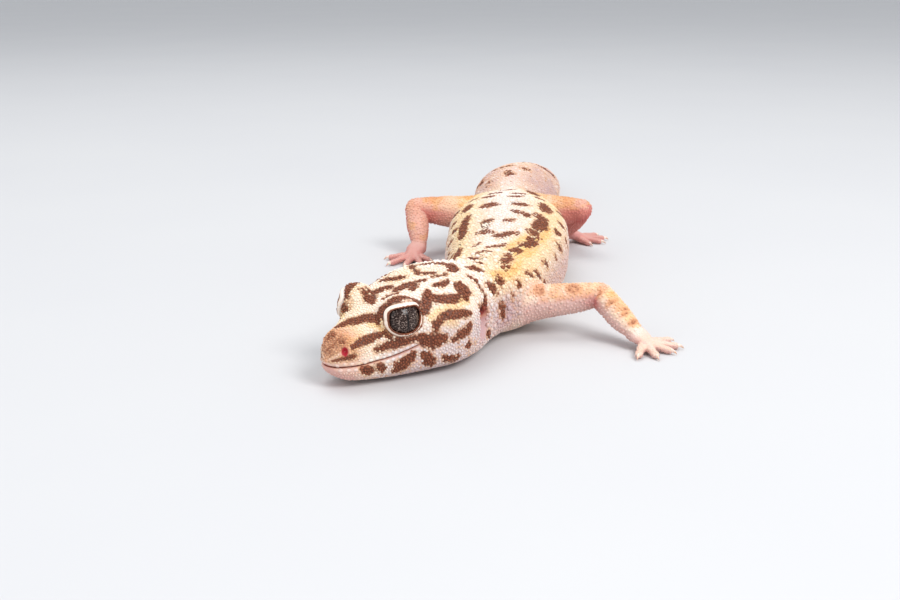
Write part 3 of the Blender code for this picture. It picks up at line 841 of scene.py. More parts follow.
def skin_shape():
    """The skin as an even grid, filled out where legs meet body, before its folds."""
    mesh = blank()
    points, triangles, edges = read(mesh)
    points = relax(points, edges, 0.5, 2)
    c = coordinates(points)
    points, joined = filleted(points, c, normals_of(points, triangles))
    move(mesh, relax(points, edges, np.where(joined, 0.5, 0.0), 6))
    return mesh


def fold(points, triangles, c):
    """The points with their folds, kept off the floor and off the eyeballs."""
    points = points + normals_of(points, triangles) * relief(c)[:, None]
    for side in (1, -1):
        middle = eye_axes(side)[0]
        off = points - middle
        far = np.linalg.norm(off, axis=1, keepdims=True)
        points = np.where(far < EYE_RADIUS + EYE_GAP, middle + off * (EYE_RADIUS + EYE_GAP) / far, points)
    points[:, 2] = np.maximum(points[:, 2], SOLE)
    return points


def refine(mesh, reach):
    """Halves the edges of the skin within reach of eyes, mouth and nostrils, where the folds are narrow."""
    points = read(mesh)[0]
    station = body_coordinates(points)[0]
    over = points[:, 2] - smooth(station, MOUTH_STATIONS, MOUTH_HEIGHTS)
    close = (np.abs(over) < 0.8 * reach) & (station < MOUTH_CORNER + 1)
    for side in (1, -1):
        close |= eye_plane(points, side)[2] < reach
        close |= np.linalg.norm(points - spot(NOSTRIL, side), axis=1) < 1.3 * reach
    work = bmesh.new()
    work.from_mesh(mesh)
    work.verts.ensure_lookup_table()
    chosen = set(np.flatnonzero(close).tolist())
    edges = [e for e in work.edges if e.verts[0].index in chosen and e.verts[1].index in chosen]
    bmesh.ops.subdivide_edges(work, edges=edges, cuts=1, use_grid_fill=True)
    return finished(work, "refined")


# ---- markings


def path_distance(points, path, width):
    """How far points on the body lie inside a brush stroke: its half width less their distance from its
    path. Towards its ends it grows narrower with the fourth power of the way from its middle."""
    path = body_point(*path.T, -COAT)
    lengths = np.linalg.norm(np.diff(path, axis=0), axis=1)
    reached = np.concatenate([[0], np.cumsum(lengths)]) / lengths.sum()
    best = np.full(len(points), -9.0)
    for n, length in enumerate(lengths):
        ahead = (path[n + 1] - path[n]) / length
        t = np.clip((points - path[n]) @ ahead / length, 0, 1)
        away = np.linalg.norm(points - path[n] - t[:, None] * ahead * length, axis=1)
        through = reached[n] + t * (reached[n + 1] - reached[n])
        best = np.maximum(best, width / 2 * (1 - 0.3 * (2 * through - 1) ** 4) - away)
    return best


def strokes(c, paths, sides=(1, -1)):
    """How deep each point lies inside the nearest of many strokes, their edges made uneven."""
    wobble = 0.28 * noise(c["p"], 1.3, 11) + 0.16 * noise(c["p"], 0.6, 12)
    flat = body_point(c["s"], c["a"], -COAT)
    deep = np.full(len(c["p"]), -9.0)
    for mirror, (width, *turns) in product(sides, paths):
        path = np.reshape(turns, (-1, 2)) * [1, mirror]
        near = (c["s"] > path[:, 0].min() - width - 1) & (c["s"] < path[:, 0].max() + width + 1)
        near &= c["limb"] < 0.9
        deep[near] = np.maximum(deep[near], path_distance(flat[near], path, width))
    return deep + wobble


def marks(c):
    """The colours' masks at each point: dark, yellow, pink, white, grey and red, each from 0 to 1.

    On the body they are bands and ovals over station and angle, noise, and brush strokes. On a leg they
    go by the place along it and the angle round it.
    """
    p, s, t = c["p"], c["s"], c["t"]
    side, limb = np.abs(c["a"]), c["limb"]
    body = 1 - limb
    slow, quick = noise(p, 7.0, 21), noise(p, 2.2, 22)
    hind = (c["which"] > 1).astype(float)
    front = 1 - hind
    top = ease(np.sin(c["turn"]), -0.1, 0.6)
    trunk = band(s, 30, 40, 116, 128)
    tail = ease(s, 122, 136)
    snout = ease(s, 6.5, 2.8)

    def oval(at, wide, angle, tall):
        """A soft oval round a station and an angle, on both sides."""
        return hill(s - at, wide) * hill(side - angle, tall)

    deep = strokes(c, FACE_STROKES + FLANK_STROKES)
    deep = np.maximum(deep, strokes(c, CROWN_STROKES + BACK_STROKES, (1,)))
    mottle = noise(p, 4.6, 31) + 0.5 * noise(p, 2.1, 32)
    deep = np.maximum(deep, (mottle - 0.45) * 1.6 - 0.8 * ease(side, 52, 88) - 4 * ease(s, 134, 124))
    mottle = ease(noise(p, 2.8, 33) + 0.6 * noise(p, 1.4, 34), -0.12, 0.36)
    mottle *= ease(top, 0.1, 0.6) * ease(t, 2.6, 2.0) * np.where(hind > 0, 1.0, 0.5)
    for along, towards, width in ARM_SPOTS:
        far = np.hypot((t - along) * 13, (np.degrees(c["turn"]) - towards) * 0.025)
        inside = ease(far + 0.5 * noise(p, 1.6, 36), width * 0.95, width * 0.15)
        mottle = np.maximum(mottle, front * inside)
    dark = np.clip(0.5 + deep / 1.1, 0, 1) * body + limb * mottle * np.where(hind > 0, 0.3, 0.42)

    yellow = trunk * (0.42 * hill(side - 46, 22) + 0.2 * quick * ease(side, 90, 40))
    yellow += 0.3 * ease(s, 31, 26) * ease(slow, -0.2, 0.8) * ease(side, 90, 50)
    yellow = np.maximum(yellow, 0.65 * ease(strokes(c, YELLOW_STREAKS), -0.6, 0.5)) * body
    yellow = np.maximum(yellow, 0.85 * ease(strokes(c, GOLD_STREAKS, (1,)), -1.0, 0.8) * body)
    patches = ease(noise(p, 3.4, 35) + 0.4 * quick, -0.35, 0.35)
    warm = ease(t, 2.4, 1.9) * (0.15 + 0.85 * top) * (0.35 + 0.65 * patches)
    yellow += limb * warm * np.where(hind > 0, 0.95 * ease(t, 1.3, 0.7) + 0.1, 0.58)
    edge = band(t, 0.95, 1.2, 1.9, 2.2) * ease(np.abs(np.degrees(c["turn"]) - 92), 52, 22)
    yellow += limb * front * 0.55 * edge

    pink = trunk * 0.3 * hill(side - 98, 24) + 0.2 * ease(side, 110, 140)
    pink += snout * (0.38 + 0.34 * ease(side, 60, 30)) + 0.12 * ease(side, 85, 110) * ease(s, 32, 26)
    pink += 0.7 * oval(EAR[0] + 0.2, 1.6, 86, 16) + 0.3 * tail
    flush = 0.14 * ease(t, 2.2, 2.9) + 0.5 * hind * ease(t, 0.3, 1.0)
    pink = pink * body + limb * (0.2 + flush + 0.6 * mottle * front + 0.36 * (1 - top))

    white = 0.9 * hill(side, 20) * band(s, 44, 52, 130, 165)
    white += trunk * 0.3 * ease(quick, 0, 1) * ease(side, 60, 20)
    white += band(s, 4, 9, 31, 36) * (0.75 + 0.3 * quick)
    white += 0.5 * snout * ease(side, 66, 82) + 0.5 * ease(side, 115, 145)
    white += 1.2 * oval(EAR[0] - 2.0, 0.7, 80, 17)
    white *= body * (1 - 0.75 * oval(EAR[0] + 0.2, 1.5, 84, 17))
    white += limb * (0.65 - 0.3 * ease(t, 2.3, 3.0)) * (1 - 0.8 * hind)

    grey = tail * (0.45 + 0.3 * slow + 0.25 * quick) * band(side, 10, 35, 90, 130)
    grey += 0.5 * ease(side, 62, 84) * band(s, 6, 12, 36, 44)
    grey += trunk * 0.6 * hill(side - 95, 26) * (1 - 0.7 * hill(s - 46, 7))
    grey += 0.5 * oval(EAR[0] + 0.2, 1.5, 88, 15)
    grey += 0.14 * hill(side - 6, 18) * band(s, 50, 60, 116, 128)
    grey = grey * body + limb * (0.28 * (1 - top) * front + 0.25 * hind * ease(t, 1.6, 2.4))
    # The ear: a red-brown pocket, darkened further as painted shade in the hole and along its front edge.
    red = 0.5 * oval(EAR[0] + 1.0, 1.3, 80, 6) * body
    dark = np.maximum(dark, 0.8 * oval(EAR[0] + 1.0, 1.6, 77, 6) * body)
    dark = np.maximum(dark, 0.6 * oval(EAR[0] - 1.1, 0.4, 82, 8) * body)
    nose = ease(s, 5.2, 3.0) * (ease(side, 62, 48) * (0.62 + 0.16 * quick) + 0.85 * hill(side - 78, 11))
    dark = np.maximum(dark, 0.77 * nose * ease(s, -1.0, 1.0) * body)

    for mirror in (1, -1):
        far = np.linalg.norm((p - spot(NOSTRIL, mirror)) * [1.15, 1.15, 0.8], axis=1)
        red += ease(far, 0.85, 0.55)
        pink += 0.15 * ease(far, 1.6, 0.8)
        outside, h, away = eye_plane(p, mirror)
        middle, _, _, up = eye_axes(mirror)
        below = ease((middle - p) @ up, 0.4, 1.6)
        rim = ease(away, 0.14, 0.04) * ease(outside + 0.08 + 0.16 * below, 0.0, 0.14)
        # Painted shade: a dark line in the crease round the lids, and darkening inside the opening between
        # lids and eyeball.
        crease = ease(outside, -0.1, 0.2) * hill(away - 0.27, 0.1)
        crease += 1.4 * ease(outside, 0.12, 0.0) * (away < 9) * (h > 1.2)
        dark = np.maximum(dark, 0.62 * crease) * (1 - rim)
        grey = np.maximum(grey, 0.3 * crease) * (1 - rim)
        red, yellow = red * (1 - rim), yellow * (1 - rim)
        white, pink = white * (1 - rim) + 0.7 * rim, pink * (1 - rim) + 0.18 * rim
    inner = hill(t - 1.06, 0.18) * ease(inward(c), 0.3, 0.9)
    red += limb * (0.85 - 0.5 * hind) * (1 - 0.8 * top) * inner
    red += limb * hind * 0.16 * (1 - top) * band(t, 0.4, 0.9, 1.6, 2.0)

    over, there = mouth_gap(c)
    there = there * body
    pink = np.maximum(pink, 0.5 * there * hill(over, 0.3))
    dark = dark * (1 - 0.7 * there * hill(over, 0.35))
    dark = np.maximum(dark, 0.75 * there * hill(over, 0.13))
    grey = np.maximum(grey, 0.9 * there * hill(over, 0.16))
    red = np.maximum(red, 0.25 * there * hill(over, 0.16))
    return np.clip(np.stack([dark, yellow, pink, white, grey, red], 1), 0, 1)


def paint(mesh, masks, rise):
    """Stores the masks on the mesh's points as two colour attributes, and in the second's alpha how far a
    point rises from the grooves between the scales, from 0 to 1: the lower it lies, the more painted shade it
    gets."""
    for name, first in (("marks", 0), ("tints", 3)):
        layer = mesh.color_attributes.new(name, "FLOAT_COLOR", "POINT")
        colour = np.ones((len(masks), 4), np.float32)
        colour[:, :3] = masks[:, first:first + 3]
        colour[:, 3] = rise
        layer.data.foreach_set("color", colour.ravel())


# ---- scales


def scatter(edges, alive, rank):
    """Chooses points of which no two share an edge: in each round the highest ranked of those left are taken,
    and their neighbours drop out."""
    chosen = np.zeros(len(alive), bool)
    alive = alive.copy()
    start, end = edges.T
    while alive.any():
        value = np.where(alive, rank, -1.0)
        best = value.copy()
        np.maximum.at(best, start, value[end])
        np.maximum.at(best, end, value[start])
        taken = alive & (best == value)
        chosen |= taken
        alive &= ~taken
        alive[end[taken[start]]] = False
        alive[start[taken[end]]] = False
    return chosen


def grid(points, distance):
    """The number of each point's cell in a cubic grid, and the steps from it to the 27 cells around it."""
    cell = np.floor(points / distance).astype(np.int64)
    cell -= cell.min(0) - 1
    _, wide, tall = cell.max(0) + 2
    steps = [(dx * wide + dy) * tall + dz for dx, dy, dz in product((-1, 0, 1), repeat=3)]
    return (cell[:, 0] * wide + cell[:, 1]) * tall + cell[:, 2], steps


def spread(points, alive, rank, distance):
    """Chooses points at least that far apart: scatter's rounds, over pairs found in a grid of that size."""
    index = np.flatnonzero(alive)
    key, steps = grid(points[index], distance)
    order = np.argsort(key, kind="stable")
    pairs = []
    for step in [step for step in steps if step >= 0]:
        low, high = (np.searchsorted(key[order], key + step, end) for end in ("left", "right"))
        count = high - low
        first = np.repeat(np.arange(len(index)), count)
        within = np.arange(count.sum()) - np.repeat(np.cumsum(count) - count, count)
        second = order[np.repeat(low, count) + within]
        gap = np.linalg.norm(points[index[first]] - points[index[second]], axis=1)
        near = (first != second) & (gap < distance)
        pairs.append(np.stack([index[first[near]], index[second[near]]], 1))
    return scatter(np.concatenate(pairs), alive, rank)


def crowded(points, index, distance):
    """Which points lie nearer than that distance to one of the chosen points."""
    near = np.zeros(len(points), bool)
    key, steps = grid(points, distance)
    order = index[np.argsort(key[index], kind="stable")]
    for step in steps:
        low, high = (np.searchsorted(key[order], key + step, end) for end in ("left", "right"))
        for extra in range(int((high - low).max())):
            other = order[np.minimum(low + extra, len(order) - 1)]
            near |= (low + extra < high) & (np.linalg.norm(points - points[other], axis=1) < distance)
    return near


def domes(roots, normals, radius, height, sides, turn, lean=None, long=1.0):
    """Closed little domes on the roots: a ring sunk in the skin, a ring at their shoulder and a top point.

    Where lean is given, a dome is drawn out along it by the factor long. Returns points and faces.
    """
    if lean is None:
        lean = np.cross(normals, [0.31, 0.52, 0.79])
    first = unit(lean - normals * (lean * normals).sum(1, keepdims=True))
    second = np.cross(normals, first)
    angle = circle(sides) + turn[:, None]
    rings = []
    # Each ring's share of the radius and of the height, and how deep it is sunk.
    for size, rise, sink in ((1.0, 0.0, -0.09), (0.74, 0.7, 0.0)):
        x = (radius * size * long)[:, None] * np.cos(angle)
        y = (radius * size)[:, None] * np.sin(angle)
        z = np.broadcast_to((height * rise)[:, None] + sink, x.shape)
        ring = roots[:, None]
        for far, way in ((x, first), (y, second), (z, normals)):
            ring = ring + far[..., None] * way[:, None]
        rings.append(ring)
    top = (roots + normals * height[:, None])[:, None]
    points = np.concatenate([*rings, top], 1)
    points[..., 2] = np.maximum(points[..., 2], 0.0)
    start = (np.arange(len(roots)) * points.shape[1])[:, None, None]
    j = np.arange(sides)
    k = (j + 1) % sides
    wall = np.stack([j, k, sides + k, sides + j], 1)[None] + start
    roof = np.stack([sides + j, sides + k, np.full(sides, 2 * sides)], 1)[None] + start
    floor = j[::-1][None, None] + start
    return points, [wall.reshape(-1, 4), roof.reshape(-1, 3), floor.reshape(-1, sides)]


def unwrap(c, chosen):
    """Roots' places on a flat unwrap of the skin: station and angle on the body, and place along and round
    each leg in a strip of its own, spread to fill the square."""
    s, angle, limb = c["s"][chosen], c["a"][chosen], c["limb"][chosen] > 0.5
    span = np.ptp(s[~limb]) if (~limb).any() else 1.0
    start = s[~limb].min() if (~limb).any() else 0.0
    share = 1.0 if not limb.any() else (0.0 if limb.all() else 0.75)
    u = np.where(limb, c["t"][chosen] / 4.2, (s - start) / max(span, 1e-6))
    strip = (c["which"][chosen] + 0.5 + c["turn"][chosen] / (2.1 * pi)) / 4
    v = np.where(limb, share + (1 - share) * strip, share * (angle / 364 + 0.5))
    return 0.01 + 0.98 * np.stack([u, v], 1)


def coat_piece(name, c, normals, chosen, radius, height, sides, masks, lean=None, long=1.0):
    """One mesh of domes, with the masks of their roots and the map on which each is a small patch."""
    count = len(chosen)
    random = np.random.default_rng(len(name) + count)
    turn = random.uniform(0, 2 * pi, count) if lean is None else np.zeros(count)
    points, faces = domes(c["p"][chosen], normals[chosen], radius, height, sides, turn, lean, long)
    mesh = mesh_of(name, to_metres(points.reshape(-1, 3)), faces)
    # Painted shade at each scale's foot: the sunk ring counts as lowest and takes the grooves' darker tone.
    rise = np.concatenate([np.zeros(sides), np.full(sides, 0.75), [1.0]])
    paint(mesh, np.repeat(masks, len(rise), axis=0), np.tile(rise, count))
    ring = circle(sides)
    ring = np.stack([np.cos(ring), np.sin(ring)], 1)
    patch = np.concatenate([ring, 0.75 * ring, [[0, 0]]]) * PATCH
    map_points(mesh, "OFBake", (unwrap(c, chosen)[:, None] + patch).reshape(-1, 2))
    mesh.materials.append(SCALES)
    thing = add(name, mesh)
    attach(thing, "root")


# ---- materials


def srgb(red, green, blue):
    """A colour given in display values 0 to 255, as linear values with alpha."""
    shares = (red, green, blue)
    return *(((v / 255 + 0.055) / 1.055) ** 2.4 if v > 10 else v / 3294.6 for v in shares), 1


CREAM, PALE_CREAM, WHITE = srgb(246, 222, 186), srgb(252, 238, 212), srgb(255, 249, 240)
YELLOW, ORANGE, TAN = srgb(252, 214, 134), srgb(240, 184, 96), srgb(232, 170, 100)
PINK, MAUVE, BLOOD = srgb(222, 142, 128), srgb(190, 162, 170), srgb(168, 28, 44)
# Painted shade in the grooves between the scales: the darker flesh and brown where the skin lies low.
GROOVE_SHADE_FLESH, GROOVE_SHADE_BROWN = srgb(184, 130, 116), srgb(62, 22, 10)
BROWN, PALE_BROWN = srgb(136, 66, 37), srgb(170, 98, 62)
IRIS, SILVER, PUPIL, IRIS_RIM_AND_LID_SHADE = srgb(34, 15, 9), srgb(206, 180, 166), srgb(10, 8, 8), srgb(18, 13, 12)
HORN, HORN_TIP, HORN_LIGHT = srgb(240, 216, 200), srgb(196, 150, 122), srgb(250, 240, 230)
FLOOR_GREY, FLOOR_PALE = (0.60, 0.60, 0.61, 1), (0.63, 0.63, 0.63, 1)


def feed(tree, made, inputs):
    """Sets a node's inputs to values, or links them to sockets."""
    for key, value in inputs.items():
        if isinstance(value, bpy.types.NodeSocket):
            tree.links.new(value, made.inputs[key])
        else:
            made.inputs[key].default_value = value


def node(tree, kind, inputs=None, **settings):
    """A shader node with its settings and its inputs."""
    made = tree.nodes.new("ShaderNode" + kind)
    for key, value in settings.items():
        setattr(made, key, value)
    feed(tree, made, inputs or {})
    return made


def material(name):
    """A new material, its tree, and the shader in it."""
    made = bpy.data.materials.new(name)
    made.use_nodes = True
    return made, made.node_tree, made.node_tree.nodes["Principled BSDF"]


def calc(tree, operation, *values):
    """What one operation, such as ADD, makes of values or sockets."""
    return node(tree, "Math", dict(enumerate(values)), operation=operation).outputs[0]


def mix(tree, factor, a, b):
    """Colour a where the factor is 0, and b where it is 1."""
    return node(tree, "Mix", {0: factor, 6: a, 7: b}, data_type="RGBA").outputs[2]


def ramp(tree, value, low, high):
    """0 to 1 as the value goes from low to high, smoothly."""
    made = node(tree, "MapRange", {0: value, 1: low, 2: high}, interpolation_type="SMOOTHSTEP")
    return made.outputs[0]


def cloud(tree, vector, size, detail=2.0, rough=0.5):
    """Noise whose lumps are about that many millimetres across."""
    inputs = {"Vector": vector, "Scale": 1 / (size * MM), "Detail": detail, "Roughness": rough}
    return node(tree, "TexNoise", inputs).outputs["Fac"]


def group_tree(name, inputs, outputs):
    """A node group with those named sockets: its tree, what comes in, and what goes out."""
    tree = bpy.data.node_groups.new(name, "ShaderNodeTree")
    for label, kind in inputs:
        tree.interface.new_socket(label, in_out="INPUT", socket_type="NodeSocket" + kind)
    for label, kind in outputs:
        tree.interface.new_socket(label, in_out="OUTPUT", socket_type="NodeSocket" + kind)
    return tree, tree.nodes.new("NodeGroupInput").outputs, tree.nodes.new("NodeGroupOutput").inputs


def gecko_colours():
    """The colours that skin and scales share: cream, washed with white, yellow, pink and grey by the masks,
    under brown blotches whose edges are roughened by noise, with red where blood shows through, and with
    painted shade in the grooves between the scales, where the rise is low."""
    tree, given, result = group_tree(
        "gecko colours",
        (("Marks", "Color"), ("Tints", "Color"), ("Rise", "Float"), ("Place", "Vector")),
        (("Colour", "Color"), ("Roughness", "Float"), ("Grain", "Float")),
    )
    dark, yellow, pink = node(tree, "SeparateColor", {0: given["Marks"]}).outputs
    white, grey, red = node(tree, "SeparateColor", {0: given["Tints"]}).outputs
    speck = cloud(tree, given["Place"], 0.5, 3.0, 0.6)
    drift = cloud(tree, given["Place"], 2.5, 2.0)
    colour = mix(tree, ramp(tree, drift, 0.3, 0.7), CREAM, PALE_CREAM)
    gold = mix(tree, ramp(tree, yellow, 0.6, 1.0), YELLOW, ORANGE)
    uneven = calc(tree, "MULTIPLY_ADD", calc(tree, "SUBTRACT", speck, 0.5), 0.5, dark)
    halo = calc(tree, "MULTIPLY", ramp(tree, uneven, 0.04, 0.36), 0.5)
    # Painted shade in the grooves between the scales: flesh and brown darken where the rise is low.
    groove_shade = calc(tree, "MULTIPLY", calc(tree, "SUBTRACT", 1.0, given["Rise"]), 0.42)
    blotch = calc(tree, "MULTIPLY", ramp(tree, uneven, 0.3, 0.62), 0.96)
    brown = mix(tree, given["Rise"], GROOVE_SHADE_BROWN, BROWN)
    brown = mix(tree, ramp(tree, speck, 0.5, 0.8), brown, PALE_BROWN)
    for share, tint in (
        (white, WHITE),
        (yellow, gold),
        (pink, PINK),
        (grey, MAUVE),
        (halo, TAN),
        (groove_shade, GROOVE_SHADE_FLESH),
        (blotch, brown),
        (red, BLOOD),
    ):
        colour = mix(tree, share, colour, tint)
    tree.links.new(colour, result["Colour"])
    tree.links.new(calc(tree, "MULTIPLY_ADD", speck, 0.2, 0.36), result["Roughness"])
    tree.links.new(cloud(tree, given["Place"], 0.16, 3.0, 0.7), result["Grain"])
    return tree


def gecko_material(name, colours, bump):
    """A hide lit a little from within: the shared colours, fine grain, and a soft gloss."""
    made, tree, shader = material(name)
    tints = node(tree, "Attribute", attribute_name="tints")
    given = {
        "Marks": node(tree, "Attribute", attribute_name="marks").outputs["Color"],
        "Tints": tints.outputs["Color"],
        "Rise": tints.outputs["Alpha"],
        "Place": node(tree, "TexCoord").outputs["Object"],
    }
    shared = node(tree, "Group", given, node_tree=colours).outputs
    grain = node(tree, "Bump", {"Height": shared["Grain"], "Strength": bump, "Distance": 0.00012})
    looks = {
        "Base Color": shared["Colour"],
        "Roughness": shared["Roughness"],
        "Normal": grain.outputs[0],
        "Subsurface Weight": 0.12,
        "Subsurface Radius": (1.0, 0.45, 0.3),
        "Subsurface Scale": 0.0012,
        "Specular IOR Level": 0.3,
    }
    feed(tree, shader, looks)
    return made


def eye_material():
    """A dark iris with a silvery net of veins and a narrow upright pupil, under a wet clear coat. Towards its
    edge it darkens: the iris's own darker rim, and painted shade where the lids overhang it.
    """
    made, tree, shader = material("eye")
    plane = node(tree, "UVMap", uv_map="iris").outputs[0]
    across, up, _ = node(tree, "SeparateXYZ", {0: plane}).outputs
    inputs = {"Vector": plane, "Scale": 36.0, "Detail": 4.0, "Roughness": 0.7}
    fine = node(tree, "TexNoise", inputs).outputs["Fac"]
    broad = node(tree, "TexNoise", {"Vector": plane, "Scale": 9.0, "Detail": 2.0}).outputs["Fac"]
    veins = node(tree, "TexVoronoi", {"Vector": plane, "Scale": 30.0}, feature="DISTANCE_TO_EDGE")
    net = ramp(tree, veins.outputs["Distance"], 0.12, 0.0)
    net = calc(tree, "MULTIPLY", net, ramp(tree, fine, 0.45, 0.65))
    bright = calc(tree, "MAXIMUM", net, ramp(tree, fine, 0.55, 0.68))
    bright = calc(tree, "MULTIPLY", bright, ramp(tree, broad, 0.3, 0.6))
    colour = mix(tree, bright, IRIS, SILVER)
    wide = calc(tree, "MULTIPLY_ADD", calc(tree, "POWER", calc(tree, "ABSOLUTE", up), 2.0), -0.3, 0.014)
    wide = calc(tree, "ADD", wide, calc(tree, "MULTIPLY", calc(tree, "SUBTRACT", fine, 0.5), 0.05))
    slit = ramp(tree, calc(tree, "SUBTRACT", wide, calc(tree, "ABSOLUTE", across)), -0.006, 0.006)
    colour = mix(tree, slit, colour, PUPIL)
    square = calc(tree, "ADD", calc(tree, "POWER", across, 2.0), calc(tree, "POWER", up, 2.0))
    # Darker towards the eyeball's edge: the iris's own darker rim, and painted shade under the lids.
    colour = mix(tree, ramp(tree, calc(tree, "SQRT", square), 0.2, 0.32), colour, IRIS_RIM_AND_LID_SHADE)
    height = node(tree, "Bump", {"Height": bright, "Strength": 0.16, "Distance": 0.0001}).outputs[0]
    looks = {
        "Base Color": colour,
        "Normal": height,
        "Coat Normal": height,
        "Roughness": 0.4,
        "IOR": 1.15,
        "Coat Weight": 0.55,
        "Coat IOR": 1.45,
        "Coat Roughness": 0.05,
    }
    feed(tree, shader, looks)
    return made


def claw_material():
    """Pale horn, darker towards the tip, with a faint paler grain."""
    made, tree, shader = material("claw")
    along = node(tree, "Attribute", attribute_name="along").outputs["Fac"]
    grain = cloud(tree, node(tree, "TexCoord").outputs["Object"], 0.3, 3.0)
    colour = mix(tree, ramp(tree, along, 0.2, 1.0), HORN, HORN_TIP)
    colour = mix(tree, calc(tree, "MULTIPLY", grain, 0.25), colour, HORN_LIGHT)
    looks = {"Base Color": colour, "Roughness": 0.28, "Subsurface Weight": 0.2, "Subsurface Scale": 0.0008}
    feed(tree, shader, looks)
    return made


def floor_material():
    """Plain pale matt floor, hardly uneven."""
    made, tree, shader = material("floor")
    tone = cloud(tree, node(tree, "TexCoord").outputs["Object"], 80.0)
    colour = mix(tree, tone, FLOOR_GREY, FLOOR_PALE)
    feed(tree, shader, {"Base Color": colour, "Roughness": 0.8})
    return made


# ---- building

low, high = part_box("eye_left")
EYE_PLACE = (np.array(low) + np.array(high)) / 2 / MM
SHIFT = np.array([*(EYE_PLACE - eye_axes(1)[0])[:2], 0.0])


def to_metres(points):
    """From millimetres in the animal's plan to the row frame in metres."""
    return (points + SHIFT) * MM


COLOURS = gecko_colours()
SKIN = gecko_material("gecko_skin", COLOURS, bump=0.35)
SCALES = gecko_material("gecko_scales", COLOURS, bump=0.2)
CLAW = claw_material()
EYE = eye_material()


def build_skin(shape):
    """The one skin: the even grid, refined and folded, then thinned where it is plain."""
    mesh = refine(refine(shape, 1.0), 0.6)
    points, triangles, _ = read(mesh)
    c = coordinates(points)
    move(mesh, fold(points, triangles, c))
    thing = add("gecko_skin", mesh)
    plain = thing.vertex_groups.new(name="plain")
    weight = ease(c["s"], 26, 36) * (1 - 0.6 * c["limb"])
    levels = np.round(weight * 8).astype(int)
    for level in np.unique(levels):
        plain.add(np.flatnonzero(levels == level).tolist(), max(level / 8, 0.02), "REPLACE")
    thin = thing.modifiers.new("thin", "DECIMATE")
    thin.ratio = min(1.0, SKIN_TRIANGLES / len(triangles))
    thin.use_collapse_triangulate = True
    thin.vertex_group = "plain"
    thin.vertex_group_factor = 1.0
    points, triangles, _ = read(applied(thing))
    made = mesh_of("gecko_skin", to_metres(points), [triangles])
    c = coordinates(points)
    lids = np.minimum(eye_plane(points, 1)[2], eye_plane(points, -1)[2])
    # Painted shade between the scales: the skin lies low and is darkened as in the grooves, less on the legs
    # and not at the lids.
    paint(made, marks(c), 0.3 + 0.65 * ease(lids, 0.16, 0.06) + 0.3 * c["limb"])
    made.materials.append(SKIN)
    thing = add("gecko_skin", made)
    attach(thing, "root")
    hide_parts(*[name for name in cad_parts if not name.startswith("eye")])


def bare_skin(c):
    """Where no scale stands: on lids and eyes, in nostrils and ears, and at the tail's very end."""
    s, side = c["s"], np.abs(c["a"])
    bare = np.hypot((s - EAR[0] - 0.2) / 1.6, (side - EAR[1]) / 18) < 1
    bare = (bare & (c["limb"] < 0.5)) | (TAIL_END - s < 0.3)
    for mirror in (1, -1):
        outside, h, away = eye_plane(c["p"], mirror)
        bare |= (away < 0.28) | ((outside < 0) & (h > 1.2) & (away < 9))
        bare |= np.linalg.norm(c["p"] - eye_axes(mirror)[0], axis=1) < EYE_RADIUS + EYE_SCALE_GAP
        bare |= np.linalg.norm(c["p"] - spot(NOSTRIL, mirror), axis=1) < 0.85
    return bare


